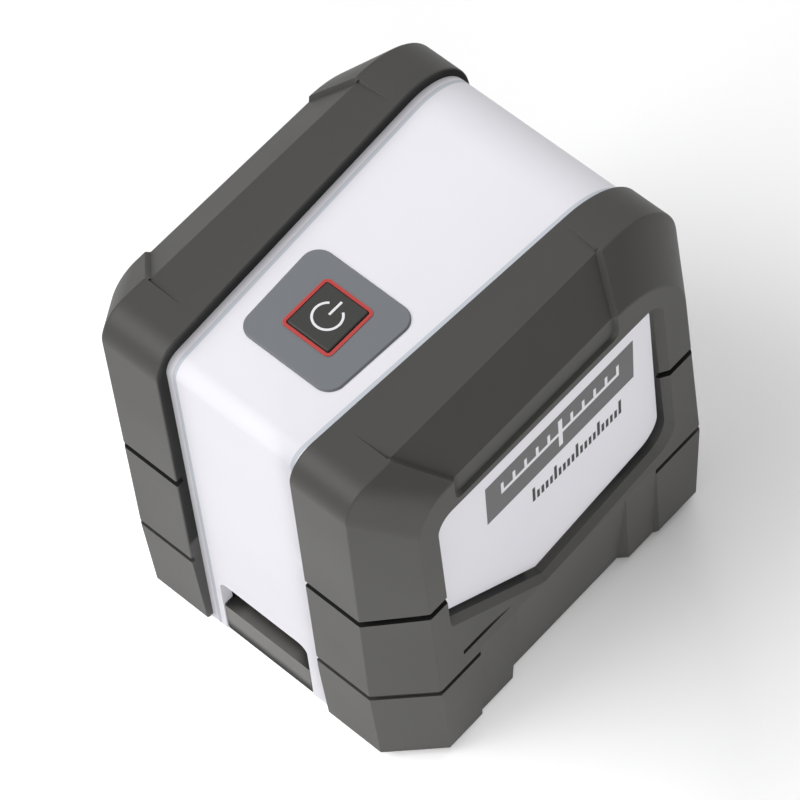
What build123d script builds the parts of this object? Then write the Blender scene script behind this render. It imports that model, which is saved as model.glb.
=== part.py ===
"""Two-line laser level: a self-levelling pendulum in a rubber-armoured box.

+X is to the right, +Y is the way the beams go, +Z is up. The origin lies under the middle of
the tool, on the surface that it stands on. All sizes are millimetres.
"""

import math
import os

from build123d import *

os.makedirs("parts", exist_ok=True)

# Overall size
WIDTH = 66.0
DEPTH = 75.4
HEIGHT = 84.0

# White sleeve: rear, top and front walls in one moulding
SHELL_WIDTH = 48.0
SHELL_WALL = 2.2
SHELL_LIFT = 0.3
SHELL_REAR_RADIUS = 2.9
SHELL_FRONT_RADIUS = 14.0
LEAST_RADIUS = 0.5
RIM_WIDTH = 1.9
RIM_DEPTH = 0.4

# Rubber bumpers
BUMPER_PROUD = 2.8
REAR_PROUD = 2.3
FRONT_PROUD = 0.6
BAND_REAR = 27.0
BAND_FRONT = 35.0
CREASE_WIDTH = 49.8
BELT_REAR_RADIUS = 5.5
BELT_FRONT_RADIUS = 16.0
BELT_EDGE = 0.25
CREASE_EDGE = 0.4
SIDE_IN_REAR = 8.0
SIDE_IN_TOP = 6.6
SIDE_IN_FRONT = 4.0
SIDE_FRONT_LEAN = 2.9
SIDE_REAR_RADIUS = 6.5
SIDE_FRONT_RADIUS = 16.0
SIDE_EDGE = 0.7
UPPER_GROOVE_Z = 48.5
LOWER_GROOVE_Z = 23.5
UPPER_GROOVE_WIDTH = 1.7
LOWER_GROOVE_WIDTH = 1.4
UPPER_GROOVE_DEPTH = 1.5
LOWER_GROOVE_DEPTH = 0.7
SIDE_LEAN = 1.4
FOOT_LIFT = 1.6
FOOT_TAPER = 0.9
FOOT_SIDE_TAPER = 0.1
FOOT_EDGE = 1.0

# Recess over each bumper's shoulder, between its corner pads
SHOULDER_REAR = -27.4
SHOULDER_FRONT = 20.3
SHOULDER_REAR_LEAN = 6.0
SHOULDER_FRONT_LEAN = 4.2
SHOULDER_DIP = 0.3
SHOULDER_IN = 0.6
SHOULDER_DRAFT = 0.8
SHOULDER_BAND = 4.6
SHOULDER_LIP = 1.0
SHOULDER_RADIUS = 2.2
SHOULDER_END_ANGLE = 20.0

# Stepped relief low on each bumper's side, between its foot pads
RELIEF_DEPTH = 2.4
RELIEF_REAR = -11.2
RELIEF_FRONT = 15.2
STEP_DEPTH = 0.9
STEP_REAR = -20.2
STEP_FRONT = 22.7
RELIEF_TOP = 25.0
ACCENT_Z = 28.6
ACCENT_REAR = -23.9
ACCENT_FRONT = 2.2
ACCENT_HEIGHT = 1.2
ACCENT_DEPTH = 0.8

# Window in each bumper's side, with the white side cover for its floor
PANEL_RECESS = 2.35
PANEL_FLARE = 0.9
PANEL_FLARE_SHARE = 0.8
PANEL_PAST = 0.2
PANEL_REAR = -25.9
PANEL_FRONT = 28.3
PANEL_FRONT_LEAN = 1.8
PANEL_DROP_REAR = 13.4
PANEL_DROP_FRONT = 13.8
PANEL_CUT_Z = 38.6
PANEL_KINK_Y = -4.3
PANEL_KINK_Z = 23.6
PANEL_FRONT_Z = 27.2
PANEL_DRAFT = 0.5
PANEL_FRONT_DRAFT = 2.3
PANEL_SLOPE = 2.6
PANEL_RADIUS = 3.4
PANEL_CUT_RADIUS = 2.2
PANEL_LOW_RADIUS = 5.0

# Side covers
COVER_FLANGE = 2.0
COVER_INSET = 1.4
COVER_MARGIN = 1.6
COVER_WALL = 2.2

# Button, its surround and indicator
BUTTON_Y = -13.95
PLATE_Y = -14.5
PLATE_WIDTH = 20.2
PLATE_LENGTH = 19.1
PLATE_RADIUS = 3.0
PLATE_THICK = 1.1
PLATE_SEAT = 0.7
RING_WIDTH = 9.95
RING_LENGTH = 10.55
RING_LINE = 0.55
RING_RADIUS = 1.0
RING_RISE = 0.15
RING_FLANGE = 1.4
RING_FLANGE_THICK = 1.2
BUTTON_GAP = 0.12
BUTTON_RISE = 0.45
BUTTON_FLANGE = 1.6
BUTTON_FLANGE_THICK = 1.0
BUTTON_STEM = 0.5
BUTTON_STEM_RADIUS = 2.0
BUTTON_TRAVEL = 0.8
SWITCH_SIZE = 6.0
SWITCH_HEIGHT = 2.4
SWITCH_FLOOR = 0.5
SWITCH_OVER_TRAVEL = 0.3
PLUNGER_RADIUS = 1.5
PLUNGER_GUIDE = 0.9
BOARD_THICK = 1.6
SWITCH_BOARD_WIDTH = 24.0
SWITCH_BOARD_LENGTH = 19.0
SWITCH_BOSS_X = 9.4
SWITCH_BOSS_Y = 7.0
SWITCH_BOSS_RADIUS = 2.2

# Fits
FIT = 0.15
PRESS_GAP = 0.02
RUNNING_GAP = 0.04
SCREW_GAP = 0.05

# Base moulding and case screws
BASE_THICK = 2.8
CASE_SCREW_INSET = 3.7
CASE_BOSS_RADIUS = 3.4
CASE_BOSS_WALL = 5.6
CASE_BOSS_TOP = 14.0
CASE_WEB = 2.0
CASE_SHANK = 1.4
CASE_HEAD = 2.6
CASE_HEAD_HEIGHT = 1.4
CASE_SCREW_LENGTH = 9.0

# Battery: two cells standing side by side, loaded from below
CELL_RADIUS = 7.25
CELL_LENGTH = 50.5
CELL_NUB_RADIUS = 2.75
CELL_NUB_HEIGHT = 1.0
CELL_GAP = 0.25
CELL_WEB = 0.6
CELL_LOW = 6.2
BOX_WALL = 1.5
BOX_ROOF = 2.0
CONTACT_THICK = 0.4
CONTACT_WIDTH = 9.0
CONTACT_SPRING = 1.5
CONTACT_TAIL = 3.0
CONTACT_TAIL_WIDTH = 2.4

# Finger notch at the rear and the battery door
NOTCH_X = -0.9
NOTCH_WIDTH = 19.2
NOTCH_TOP = 16.4
NOTCH_RADIUS = 2.0
WELL_DEPTH = 4.6
WELL_WALL = 1.4
LEDGE_Z = 8.2
LIP_WALL = 1.7
DOOR_LOW = 0.5
DOOR_THICK = 2.0
DOOR_GAP = 0.3
HINGE_OFFSET = 1.6
HINGE_Z = 2.0
KNUCKLE_RADIUS = 1.7
KNUCKLE_LENGTH = 5.2
PIN_RADIUS = 1.0
DOOR_CONTACT_WIDTH = 7.0

# Tripod thread, 1/4 inch
THREAD_RADIUS = 3.175
THREAD_DEPTH = 8.0
INSERT_RADIUS = 4.75
INSERT_LENGTH = 9.0
INSERT_LIP = 0.6
BOSS_WALL = 2.4
BOSS_ROOF = 1.9

# Front window
BEZEL_WIDTH = 31.0
BEZEL_HEIGHT = 42.0
BEZEL_RADIUS = 3.5
BEZEL_RIM = 1.5
BEZEL_LEDGE = 1.5
BEZEL_SEAT = 1.4
BEZEL_FLANGE = 1.8
GASKET_THICK = 0.3
GLASS_THICK = 1.4
GLASS_SINK = 0.2

# Main board on the front of the battery box
STANDOFF = 1.2
STANDOFF_RADIUS = 2.2
MAIN_BOARD_WIDTH = 28.0
MAIN_BOARD_LOW = 20.0
MAIN_BOARD_HIGH = 54.0
MAIN_BOARD_INSET = 2.6
SMALL_SHANK = 1.0
SMALL_HEAD = 1.9
SMALL_HEAD_HEIGHT = 1.3
SMALL_REACH = 4.0

# Gimbal and pendulum
TILT_LIMIT = 4.0
SETBACK = 19.0
LEG_INNER = 15.5
LEG_THICK = 3.5
LEG_DEPTH = 12.0
BRIDGE_THICK = 2.5
BRIDGE_CLEAR = 1.2
FRAME_FOOT = 4.6
FRAME_FOOT_THICK = 2.5
FRAME_SCREW_SPACING = 7.0
FRAME_SHANK = 1.2
FRAME_HEAD = 2.0
FRAME_HEAD_HEIGHT = 1.5
FRAME_SCREW_REACH = 1.8
BEARING_RADIUS = 4.0
BEARING_WIDTH = 3.0
BEARING_RACE = 0.9
BEARING_SHIELD = 0.25
AXLE_RADIUS = 1.5
RING_X = 28.0
RING_Y = 23.6
RING_WALL = 3.2
RING_HEIGHT = 7.0
RING_CLEAR = 2.0
HUB_WIDTH = 12.0
HUB_LENGTH = 13.0
HUB_RISE = 5.2
HUB_BORE = 2.4
BODY_WIDTH = 18.0
BODY_REAR = 9.25
BODY_FRONT = 7.75
BODY_MARGIN = 7.2
BODY_EDGE = 1.5
LASER_SPACING = 13.6
BARREL_RADIUS = 5.9
BARREL_LENGTH = 18.0
BARREL_BORE = 4.2
DIODE_SEAT = 4.0
DIODE_RADIUS = 2.8
DIODE_FLANGE = 1.2
DIODE_CAN_RADIUS = 1.8
DIODE_CAN = 2.3
DIODE_PIN_RADIUS = 0.25
DIODE_PIN_LENGTH = 3.0
DIODE_PIN_CIRCLE = 1.27
LENS_THICK = 2.6
LENS_CURVE = 9.0
LENS_SETBACK = 5.0
ROD_RADIUS = 2.0
ROD_LENGTH = 7.6
CAP_WALL = 1.0
CAP_SLOT = 3.2
GRUB_RADIUS = 1.25
GRUB_SINK = 0.4
BALANCE_X = 6.2
BALANCE_Z = 2.1
BALANCE_LENGTH = 5.0
STEM_RADIUS = 3.0
STEM_LENGTH = 5.0
DISC_RADIUS = 10.0
DISC_THICK = 3.0
DISC_GAP = 2.4
DISC_SCREW_LENGTH = 5.0
MAGNET_PLATE = 24.0
MAGNET_PLATE_THICK = 1.5
MAGNET_RADIUS = 4.0
MAGNET_HEIGHT = 3.0
MAGNET_SPACING = 10.4
PEG_SPACING = 18.6
PEG_RADIUS = 1.1
PEG_POST_RADIUS = 2.2
PEG_RIVET = 0.6
TILT_PLATE_THICK = 1.0
TILT_PLATE_LIFT = 1.6
TILT_PLATE_LENGTH = 18.0
TILT_PLATE_TONGUE = 9.0
TILT_PLATE_GRIP = 1.5
TILT_CLEAR = 0.35

# Places worked out from the sizes above
REAR = -DEPTH / 2
FRONT = DEPTH / 2
HALF_WIDTH = WIDTH / 2
HALF_CREASE = CREASE_WIDTH / 2
HALF_SHELL = SHELL_WIDTH / 2
PANEL_X = HALF_WIDTH - PANEL_RECESS
SHELL_REAR = REAR + REAR_PROUD
SHELL_FRONT = FRONT - FRONT_PROUD
SHELL_TOP = HEIGHT - BUMPER_PROUD
CAVITY_REAR = SHELL_REAR + SHELL_WALL
CAVITY_FRONT = SHELL_FRONT - SHELL_WALL
CAVITY_TOP = SHELL_TOP - SHELL_WALL
BASE_TOP = BASE_THICK
CASE_SCREW_X = HALF_SHELL - CASE_SCREW_INSET
CASE_SCREW_YS = (CAVITY_REAR + CASE_BOSS_WALL, CAVITY_FRONT - CASE_BOSS_WALL)

RING_TOP = SHELL_TOP + PLATE_THICK - PLATE_SEAT + RING_RISE
RING_LOW = CAVITY_TOP - RING_FLANGE_THICK
BUTTON_TOP = SHELL_TOP + PLATE_THICK - PLATE_SEAT + BUTTON_RISE
BUTTON_FLANGE_TOP = RING_LOW - BUTTON_GAP
BUTTON_LOW = BUTTON_FLANGE_TOP - BUTTON_FLANGE_THICK - BUTTON_STEM
SWITCH_TOP = BUTTON_LOW - BUTTON_TRAVEL - SWITCH_OVER_TRAVEL
SWITCH_BOARD_TOP = SWITCH_TOP - SWITCH_HEIGHT

CELL_BORE = CELL_RADIUS + CELL_GAP
CELL_X = CELL_BORE + CELL_WEB / 2
BOX_REAR = SHELL_REAR + WELL_DEPTH
CELL_Y = BOX_REAR + BOX_WALL + CELL_BORE
BOX_FRONT = CELL_Y + CELL_BORE + BOX_WALL
BOX_HALF = CELL_X + CELL_BORE + BOX_WALL
CELL_TOP = CELL_LOW + CELL_LENGTH
BOX_CEILING = CELL_TOP + CONTACT_SPRING + CONTACT_THICK
BOX_TOP = BOX_CEILING + BOX_ROOF
OPENING_HALF = BOX_HALF - BOX_WALL / 2
OPENING_REAR = BOX_REAR + BOX_WALL / 2
HINGE_Y = BOX_FRONT + HINGE_OFFSET
HINGE_CLEAR = KNUCKLE_RADIUS + DOOR_GAP
DOOR_TOP = DOOR_LOW + DOOR_THICK
DOOR_HALF = OPENING_HALF - DOOR_GAP
NOTCH_SIDES = (NOTCH_X - NOTCH_WIDTH / 2, NOTCH_X + NOTCH_WIDTH / 2)
LIP_SIDES = (NOTCH_SIDES[0] + DOOR_GAP, NOTCH_SIDES[1] - DOOR_GAP)

BOARD_REAR = BOX_FRONT + STANDOFF
BOARD_FRONT = BOARD_REAR + BOARD_THICK
AXIS_Y = BOARD_FRONT + SETBACK
BOSS_TOP = SHELL_LIFT + INSERT_LENGTH + BOSS_ROOF
MAGNET_LOW = BOSS_TOP + MAGNET_PLATE_THICK
DISC_LOW = MAGNET_LOW + MAGNET_HEIGHT + DISC_GAP
STEM_LOW = DISC_LOW + DISC_THICK
BODY_LOW = STEM_LOW + STEM_LENGTH
LASER_LOW = BODY_LOW + BODY_MARGIN
LASER_HIGH = LASER_LOW + LASER_SPACING
BODY_TOP = LASER_HIGH + BODY_MARGIN
PIVOT_Z = BODY_TOP + RING_CLEAR + RING_HEIGHT / 2
BRIDGE_LOW = PIVOT_Z + HUB_RISE + BRIDGE_CLEAR
WINDOW_Z = (LASER_LOW + LASER_HIGH) / 2
LEG_OUTER = LEG_INNER + LEG_THICK
FRAME_SCREW_X = LEG_OUTER + FRAME_FOOT / 2
BARREL_REAR = AXIS_Y - BARREL_LENGTH / 2
BARREL_FRONT = AXIS_Y + BARREL_LENGTH / 2
TILT_PLATE_Z = STEM_LOW + TILT_PLATE_LIFT


def mirrored(part):
    """The left-hand copy of a right-hand piece."""
    return mirror(part, about=Plane.YZ)


def block(x, y, z):
    """Box between the two limits given along each axis."""
    sides = [limits[1] - limits[0] for limits in (x, y, z)]
    middle = [(limits[0] + limits[1]) / 2 for limits in (x, y, z)]
    return Pos(*middle) * Box(*sides)


def post(x, y, z, radius):
    """Upright cylinder between the two heights in z."""
    return Pos(x, y, (z[0] + z[1]) / 2) * Cylinder(radius, z[1] - z[0])


def rod_x(x, y, z, radius):
    """Cylinder along X between the two limits in x."""
    return Pos((x[0] + x[1]) / 2, y, z) * Rot(0, 90, 0) * Cylinder(radius, x[1] - x[0])


def rod_y(x, y, z, radius):
    """Cylinder along Y between the two limits in y."""
    return Pos(x, (y[0] + y[1]) / 2, z) * Rot(90, 0, 0) * Cylinder(radius, y[1] - y[0])


def along_x(shape, x):
    """Prism of a (Y, Z) outline between the two limits in x."""
    return extrude(Plane.YZ.offset(x[0]) * shape, amount=x[1] - x[0])


def along_y(shape, y):
    """Prism of an (X, Z) outline between the two limits in y."""
    plane = Plane((0, y[1], 0), x_dir=(1, 0, 0), z_dir=(0, -1, 0))
    return extrude(plane * shape, amount=y[1] - y[0])


def along_z(shape, z):
    """Prism of an (X, Y) outline between the two heights in z."""
    return extrude(Plane.XY.offset(z[0]) * shape, amount=z[1] - z[0])


def button_outline(width, length, radius):
    """Rounded rectangle round the button's middle, in (X, Y)."""
    return Pos(0, BUTTON_Y) * RectangleRounded(width, length, radius)


def window_outline(inset):
    """The front window's rounded rectangle, drawn in by inset, in (X, Z)."""
    radius = max(BEZEL_RADIUS - inset, LEAST_RADIUS)
    return Pos(0, WINDOW_Z) * RectangleRounded(BEZEL_WIDTH - 2 * inset, BEZEL_HEIGHT - 2 * inset, radius)


def side_outline(rear, front, floor, top, rear_radius, front_radius, front_lean=0):
    """The tool's outline seen from its side, in (Y, Z): upper corners rounded, front leaning back."""
    shape = Polygon((rear, floor), (front, floor), (front - front_lean, top), (rear, top), align=None)
    shape = fillet(shape.vertices().group_by(Axis.Y)[-1].sort_by(Axis.X)[0], rear_radius)
    return fillet(shape.vertices().group_by(Axis.Y)[-1].sort_by(Axis.X)[-1], front_radius)


def shell_outline(inset, floor):
    """The white sleeve's outline drawn in by inset."""
    return side_outline(
        SHELL_REAR + inset,
        SHELL_FRONT - inset,
        floor,
        SHELL_TOP - inset,
        max(SHELL_REAR_RADIUS - inset, LEAST_RADIUS),
        max(SHELL_FRONT_RADIUS - inset, LEAST_RADIUS),
    )


def panel_outline(share):
    """The side window's outline, in (Y, Z): its mouth at share 0 and its smaller floor at share 1."""
    draft = share * PANEL_DRAFT
    foot = share * PANEL_SLOPE
    front = PANEL_FRONT - share * PANEL_FRONT_DRAFT
    cut_radius = PANEL_CUT_RADIUS + share * (LEAST_RADIUS - PANEL_CUT_RADIUS)
    kink = (PANEL_KINK_Y, PANEL_KINK_Z + foot)
    rounded = {
        (PANEL_REAR + draft, HEIGHT - PANEL_DROP_REAR - draft): PANEL_RADIUS,
        (PANEL_REAR + draft, PANEL_CUT_Z + foot): cut_radius,
        (front, PANEL_FRONT_Z + foot): PANEL_LOW_RADIUS,
        (front - PANEL_FRONT_LEAN, HEIGHT - PANEL_DROP_FRONT - draft): PANEL_RADIUS,
    }
    top_rear, low_rear, low_front, top_front = rounded
    shape = make_face(Polyline(top_rear, low_rear, kink, low_front, top_front, close=True))
    for corner, radius in rounded.items():
        shape = fillet(shape.vertices().sort_by_distance((*corner, 0))[0], radius)
    return shape


def band_half(y):
    """Half the width of the white band between the bumpers, which widens towards the front."""
    return BAND_REAR / 2 + (BAND_FRONT - BAND_REAR) / 2 * (y - REAR) / DEPTH


def plate_outline():
    """The grey surround's outline, in (X, Y): its sides follow the bumpers."""
    rear = PLATE_Y - PLATE_LENGTH / 2
    front = PLATE_Y + PLATE_LENGTH / 2
    margin = band_half(PLATE_Y) - PLATE_WIDTH / 2
    shape = Polygon(
        (margin - band_half(rear), rear),
        (band_half(rear) - margin, rear),
        (band_half(front) - margin, front),
        (margin - band_half(front), front),
        align=None,
    )
    return fillet(shape.vertices(), PLATE_RADIUS)


def plan_outline(end_inset, side_inset):
    """The bumper's plan, in (X, Y), drawn in at its ends and its side, with its chamfered corners."""
    span = HALF_WIDTH - HALF_CREASE
    share = (span - side_inset) / span
    rear = REAR + end_inset
    front = FRONT - end_inset
    return Polygon(
        (-HALF_CREASE, rear),
        (HALF_CREASE, rear),
        (HALF_WIDTH - side_inset, rear + SIDE_IN_REAR * share),
        (HALF_WIDTH - side_inset, front - SIDE_IN_FRONT * share),
        (HALF_CREASE, front),
        (-HALF_CREASE, front),
        align=None,
    )


def plan_prism(inset, z):
    """Upright prism of the bumper's plan, drawn in alike all round."""
    return along_z(plan_outline(inset, inset), z)


def side_plane():
    """The bumper's side face, which leans in above the lower groove; its origin lies on that groove."""
    lean = math.atan2(SIDE_LEAN, HEIGHT - SIDE_IN_TOP - LOWER_GROOVE_Z)
    normal = (math.cos(lean), 0, math.sin(lean))
    return Plane((HALF_WIDTH, 0, LOWER_GROOVE_Z), x_dir=(0, 1, 0), z_dir=normal)


def bumper_form():
    """The right bumper's outside before its tiers: a belt, and a chamfered cap lofted to its side."""
    belt = side_outline(REAR, FRONT, FOOT_LIFT, HEIGHT, BELT_REAR_RADIUS, BELT_FRONT_RADIUS)
    above = HEIGHT - SIDE_IN_TOP - LOWER_GROOVE_Z
    below = LOWER_GROOVE_Z - FOOT_LIFT
    side = side_outline(
        REAR + SIDE_IN_REAR,
        FRONT - SIDE_IN_FRONT + SIDE_FRONT_LEAN * below / above,
        -below,
        above,
        SIDE_REAR_RADIUS,
        SIDE_FRONT_RADIUS,
        SIDE_FRONT_LEAN * (above + below) / above,
    )
    cap_ends = [Plane.YZ.offset(HALF_CREASE) * belt, side_plane() * side]
    form = along_x(belt, (0, HALF_CREASE)) + loft([end.face() for end in cap_ends], ruled=True)
    past = BUMPER_PROUD
    between = Polygon(
        (-past, REAR - past),
        (band_half(REAR - past), REAR - past),
        (band_half(FRONT + past), FRONT + past),
        (-past, FRONT + past),
        align=None,
    )
    form -= along_z(between, (-past, HEIGHT + past))

    def above_foot(edge):
        """Whether an edge lies above the foot."""
        return edge.center().Z > FOOT_LIFT + FOOT_EDGE

    def on_crease(edge):
        """Whether an edge lies in the plane of the crease."""
        return max(abs(end.X - HALF_CREASE) for end in edge.vertices()) < LEAST_RADIUS / 10

    form = fillet(form.edges().filter_by(on_crease).filter_by(above_foot), CREASE_EDGE)
    form = fillet(form.faces().sort_by(Axis.X)[-1].edges().filter_by(above_foot), SIDE_EDGE)
    return fillet(form.faces().sort_by(Axis.X)[0].edges().filter_by(above_foot), BELT_EDGE)


def bumper_tiers():
    """The stacked tiers that the form is cut to, with a groove between each and a tapered foot."""
    past = BUMPER_PROUD
    upper_low = UPPER_GROOVE_Z - UPPER_GROOVE_WIDTH
    lower_low = LOWER_GROOVE_Z - LOWER_GROOVE_WIDTH
    upper_lean = SIDE_LEAN * (UPPER_GROOVE_Z - LOWER_GROOVE_Z) / (HEIGHT - SIDE_IN_TOP - LOWER_GROOVE_Z)
    tiers = plan_prism(-past, (UPPER_GROOVE_Z, HEIGHT + past))
    tiers += plan_prism(-past, (LOWER_GROOVE_Z, upper_low))
    upper_core = plan_outline(UPPER_GROOVE_DEPTH, UPPER_GROOVE_DEPTH + upper_lean)
    tiers += along_z(upper_core, (upper_low, UPPER_GROOVE_Z))
    tiers += plan_prism(LOWER_GROOVE_DEPTH, (lower_low, LOWER_GROOVE_Z))
    tiers += block((0, HALF_WIDTH), (STEP_REAR, STEP_FRONT), (lower_low, LOWER_GROOVE_Z))
    foot_top = Plane.XY.offset(lower_low) * plan_outline(0, 0)
    foot_low = Plane.XY.offset(FOOT_LIFT) * plan_outline(FOOT_TAPER, FOOT_SIDE_TAPER)
    foot = loft([foot_low.face(), foot_top.face()], ruled=True)
    return tiers + fillet(foot.edges().group_by(Axis.Z)[0], FOOT_EDGE)


def ended(cutter, start, run, rise, inward):
    """Keeps what lies inward, along Y, of the end wall through a point that holds two directions."""
    return split(cutter, Plane(start, x_dir=run, z_dir=rise.cross(run) * inward))


def shoulder_cut():
    """What is taken off between the corner pads: a dip in the belt, the long facet, the side's top."""
    past = BUMPER_PROUD
    inner, outer, above = BAND_FRONT / 2, HALF_WIDTH + past, HEIGHT + past
    across = Vector(1, 0, 0)
    fall = Vector(HALF_WIDTH - SIDE_LEAN - HALF_CREASE, 0, -SIDE_IN_TOP)
    down = Vector(SIDE_LEAN, 0, SIDE_IN_TOP + LOWER_GROOVE_Z - HEIGHT).normalized()
    outward = Vector(-fall.Z, 0, fall.X).normalized() * SHOULDER_IN
    crease = Vector(HALF_CREASE - SHOULDER_IN, 0, HEIGHT - SHOULDER_DIP)
    edge = crease + fall
    low = edge + down * SHOULDER_BAND
    crease_xz, edge_xz, low_xz = ((point.X, point.Z) for point in (crease, edge, low))
    over_crease = (crease.X, above)
    beside_edge = (outer, edge.Z + (outer - edge.X) * SHOULDER_DIP / SHOULDER_IN)
    below_lip = (outer, low.Z - (outer - low.X) * SHOULDER_LIP)
    long = (REAR, FRONT)
    dip = along_y(Polygon((inner, HEIGHT), crease_xz, over_crease, (inner, above), align=None), long)
    facet = along_y(Polygon(crease_xz, edge_xz, beside_edge, (outer, above), over_crease, align=None), long)
    side = along_y(Polygon(edge_xz, low_xz, below_lip, beside_edge, align=None), long)
    ends = ((1, SHOULDER_REAR, SHOULDER_REAR_LEAN), (-1, SHOULDER_FRONT, SHOULDER_FRONT_LEAN))
    for inward, y, lean in ends:
        corner = Vector(HALF_CREASE, y, HEIGHT)
        back = Vector(0, -inward * SHOULDER_DRAFT, 0)
        dip = ended(dip, corner, across, Vector(0, 0, SHOULDER_IN) + back, inward)
        along = fall + Vector(0, inward * lean, 0)
        facet = ended(facet, corner, along, outward + back, inward)
        wall = (outward + back).cross(along)
        retreat = (wall.X * SHOULDER_IN + wall.Z * SHOULDER_DIP) / wall.Y
        side = ended(side, corner + along, down, Vector(SHOULDER_IN, -retreat, SHOULDER_DIP), inward)

    def at_end(line):
        """Whether an edge runs across the recess and not along it."""
        return abs(line.tangent_at(0.5).Y) < math.cos(math.radians(SHOULDER_END_ANGLE))

    corners = side.faces().sort_by(Axis.Z)[0].edges().filter_by(at_end)
    return dip + facet + fillet(corners, SHOULDER_RADIUS)


def relief_cut(depth, rear, front):
    """A step in the foot's side between the pads, deepest at the floor and run out at its top."""
    past = BUMPER_PROUD
    inner = HALF_WIDTH - FOOT_SIDE_TAPER - depth
    reach = depth + FOOT_SIDE_TAPER + past
    plan = Polygon(
        (inner, rear),
        (inner + reach, rear - reach),
        (inner + reach, front + reach),
        (inner, front),
        align=None,
    )
    lean = Vector(depth + FOOT_SIDE_TAPER, 0, RELIEF_TOP)
    return extrude(plan, amount=lean.length, dir=lean.normalized())


def accent_cut():
    """Short groove above the rear foot pad, which runs out towards the front."""
    outer = HALF_WIDTH + ACCENT_DEPTH
    inner = HALF_WIDTH - ACCENT_DEPTH
    plan = Polygon((outer, ACCENT_REAR), (inner, ACCENT_REAR), (outer, ACCENT_FRONT), align=None)
    return along_z(plan, (ACCENT_Z, ACCENT_Z + ACCENT_HEIGHT))


def cover_flange(x):
    """The side cover's flange, which closes the sleeve's open side."""
    return along_x(shell_outline(COVER_INSET, BASE_TOP), x)


def cover_pan(inset, x):
    """The side cover's raised panel, drawn in by inset from its margin behind the window."""
    return along_x(offset(panel_outline(1), COVER_MARGIN - inset, kind=Kind.ARC), x)


def bumper():
    """Right bumper: soft armour moulded over the sleeve's edge and the side cover."""
    past = BUMPER_PROUD
    part = bumper_form() & bumper_tiers()
    part -= shoulder_cut()
    part -= relief_cut(RELIEF_DEPTH, RELIEF_REAR, RELIEF_FRONT)
    part -= relief_cut(STEP_DEPTH, STEP_REAR, STEP_FRONT)
    part -= accent_cut()
    part -= along_x(shell_outline(0, -past), (0, HALF_SHELL))
    part -= cover_flange((HALF_SHELL, HALF_SHELL + COVER_FLANGE))
    part -= cover_pan(0, (HALF_SHELL, PANEL_X))
    to_groove = Pos(0, -LOWER_GROOVE_Z)
    mouth = side_plane().offset(PANEL_PAST) * (to_groove * panel_outline(0))
    flare = side_plane().offset(-PANEL_FLARE) * (to_groove * panel_outline(PANEL_FLARE_SHARE))
    floor = Plane.YZ.offset(PANEL_X) * panel_outline(1)
    return part - loft([floor.face(), flare.face(), mouth.face()], ruled=True)


def side_cover():
    """Right side cover: a flange on the sleeve's edge and the hollow panel seen in the window."""
    flange_end = HALF_SHELL + COVER_FLANGE
    part = cover_flange((HALF_SHELL, flange_end)) + cover_pan(0, (HALF_SHELL, PANEL_X))
    return part - cover_pan(COVER_WALL, (HALF_SHELL, PANEL_X - COVER_WALL))


def rim_cut():
    """Shallow step in the sleeve's skin along the edge of the right bumper."""
    past = SHELL_WALL
    skin = along_x(shell_outline(-past, -past), (0, HALF_SHELL))
    skin -= along_x(shell_outline(RIM_DEPTH, -past), (0, HALF_SHELL))
    ends = (REAR, FRONT)
    inner = [(band_half(y) - RIM_WIDTH, y) for y in ends]
    outer = [(band_half(y), y) for y in reversed(ends)]
    return skin & along_z(Polygon(*inner, *outer, align=None), (0, HEIGHT))


def main_shell():
    """White sleeve: rear, top and front walls, with its bosses, notch and openings."""
    past = SHELL_WALL
    part = along_x(shell_outline(0, SHELL_LIFT), (-HALF_SHELL, HALF_SHELL))
    part -= along_x(shell_outline(SHELL_WALL, SHELL_LIFT - past), (-HALF_SHELL, HALF_SHELL))
    rim = rim_cut()
    part -= rim + mirrored(rim)
    for side in (-1, 1):
        for y, wall in zip(CASE_SCREW_YS, (CAVITY_REAR, CAVITY_FRONT)):
            x = side * CASE_SCREW_X
            height = (BASE_TOP, CASE_BOSS_TOP)
            part += post(x, y, height, CASE_BOSS_RADIUS)
            part += block((x - CASE_WEB / 2, x + CASE_WEB / 2), sorted((y, wall)), height)
            part -= post(x, y, (BASE_TOP, BASE_TOP + CASE_SCREW_LENGTH), CASE_SHANK + SCREW_GAP)
        for end in (-1, 1):
            x, y = side * SWITCH_BOSS_X, BUTTON_Y + end * SWITCH_BOSS_Y
            part += post(x, y, (SWITCH_BOARD_TOP, CAVITY_TOP), SWITCH_BOSS_RADIUS)
            part -= post(x, y, (SWITCH_BOARD_TOP, SWITCH_BOARD_TOP + SMALL_REACH), SMALL_SHANK + SCREW_GAP)
    notch = RectangleRounded(NOTCH_WIDTH, 2 * (NOTCH_TOP - SHELL_LIFT), NOTCH_RADIUS)
    part -= along_y(Pos(NOTCH_X, SHELL_LIFT) * notch, (SHELL_REAR - past, CAVITY_REAR))
    seat = (SHELL_TOP - PLATE_SEAT, SHELL_TOP + past)
    part -= along_z(plate_outline(), seat)
    part -= along_z(button_outline(RING_WIDTH, RING_LENGTH, RING_RADIUS), (CAVITY_TOP, SHELL_TOP))
    part -= along_y(window_outline(0), (SHELL_FRONT - BEZEL_SEAT, SHELL_FRONT + past))
    part -= along_y(window_outline(BEZEL_RIM), (CAVITY_FRONT, SHELL_FRONT))
    return part


def button_plate():
    """Grey surround seated in the top wall, with a square hole for the indicator frame."""
    height = (SHELL_TOP - PLATE_SEAT, SHELL_TOP - PLATE_SEAT + PLATE_THICK)
    part = along_z(plate_outline(), height)
    part = chamfer(part.faces().sort_by(Axis.Z)[-1].edges(), PLATE_THICK - PLATE_SEAT - FIT)
    return part - along_z(button_outline(RING_WIDTH, RING_LENGTH, RING_RADIUS), height)


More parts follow.
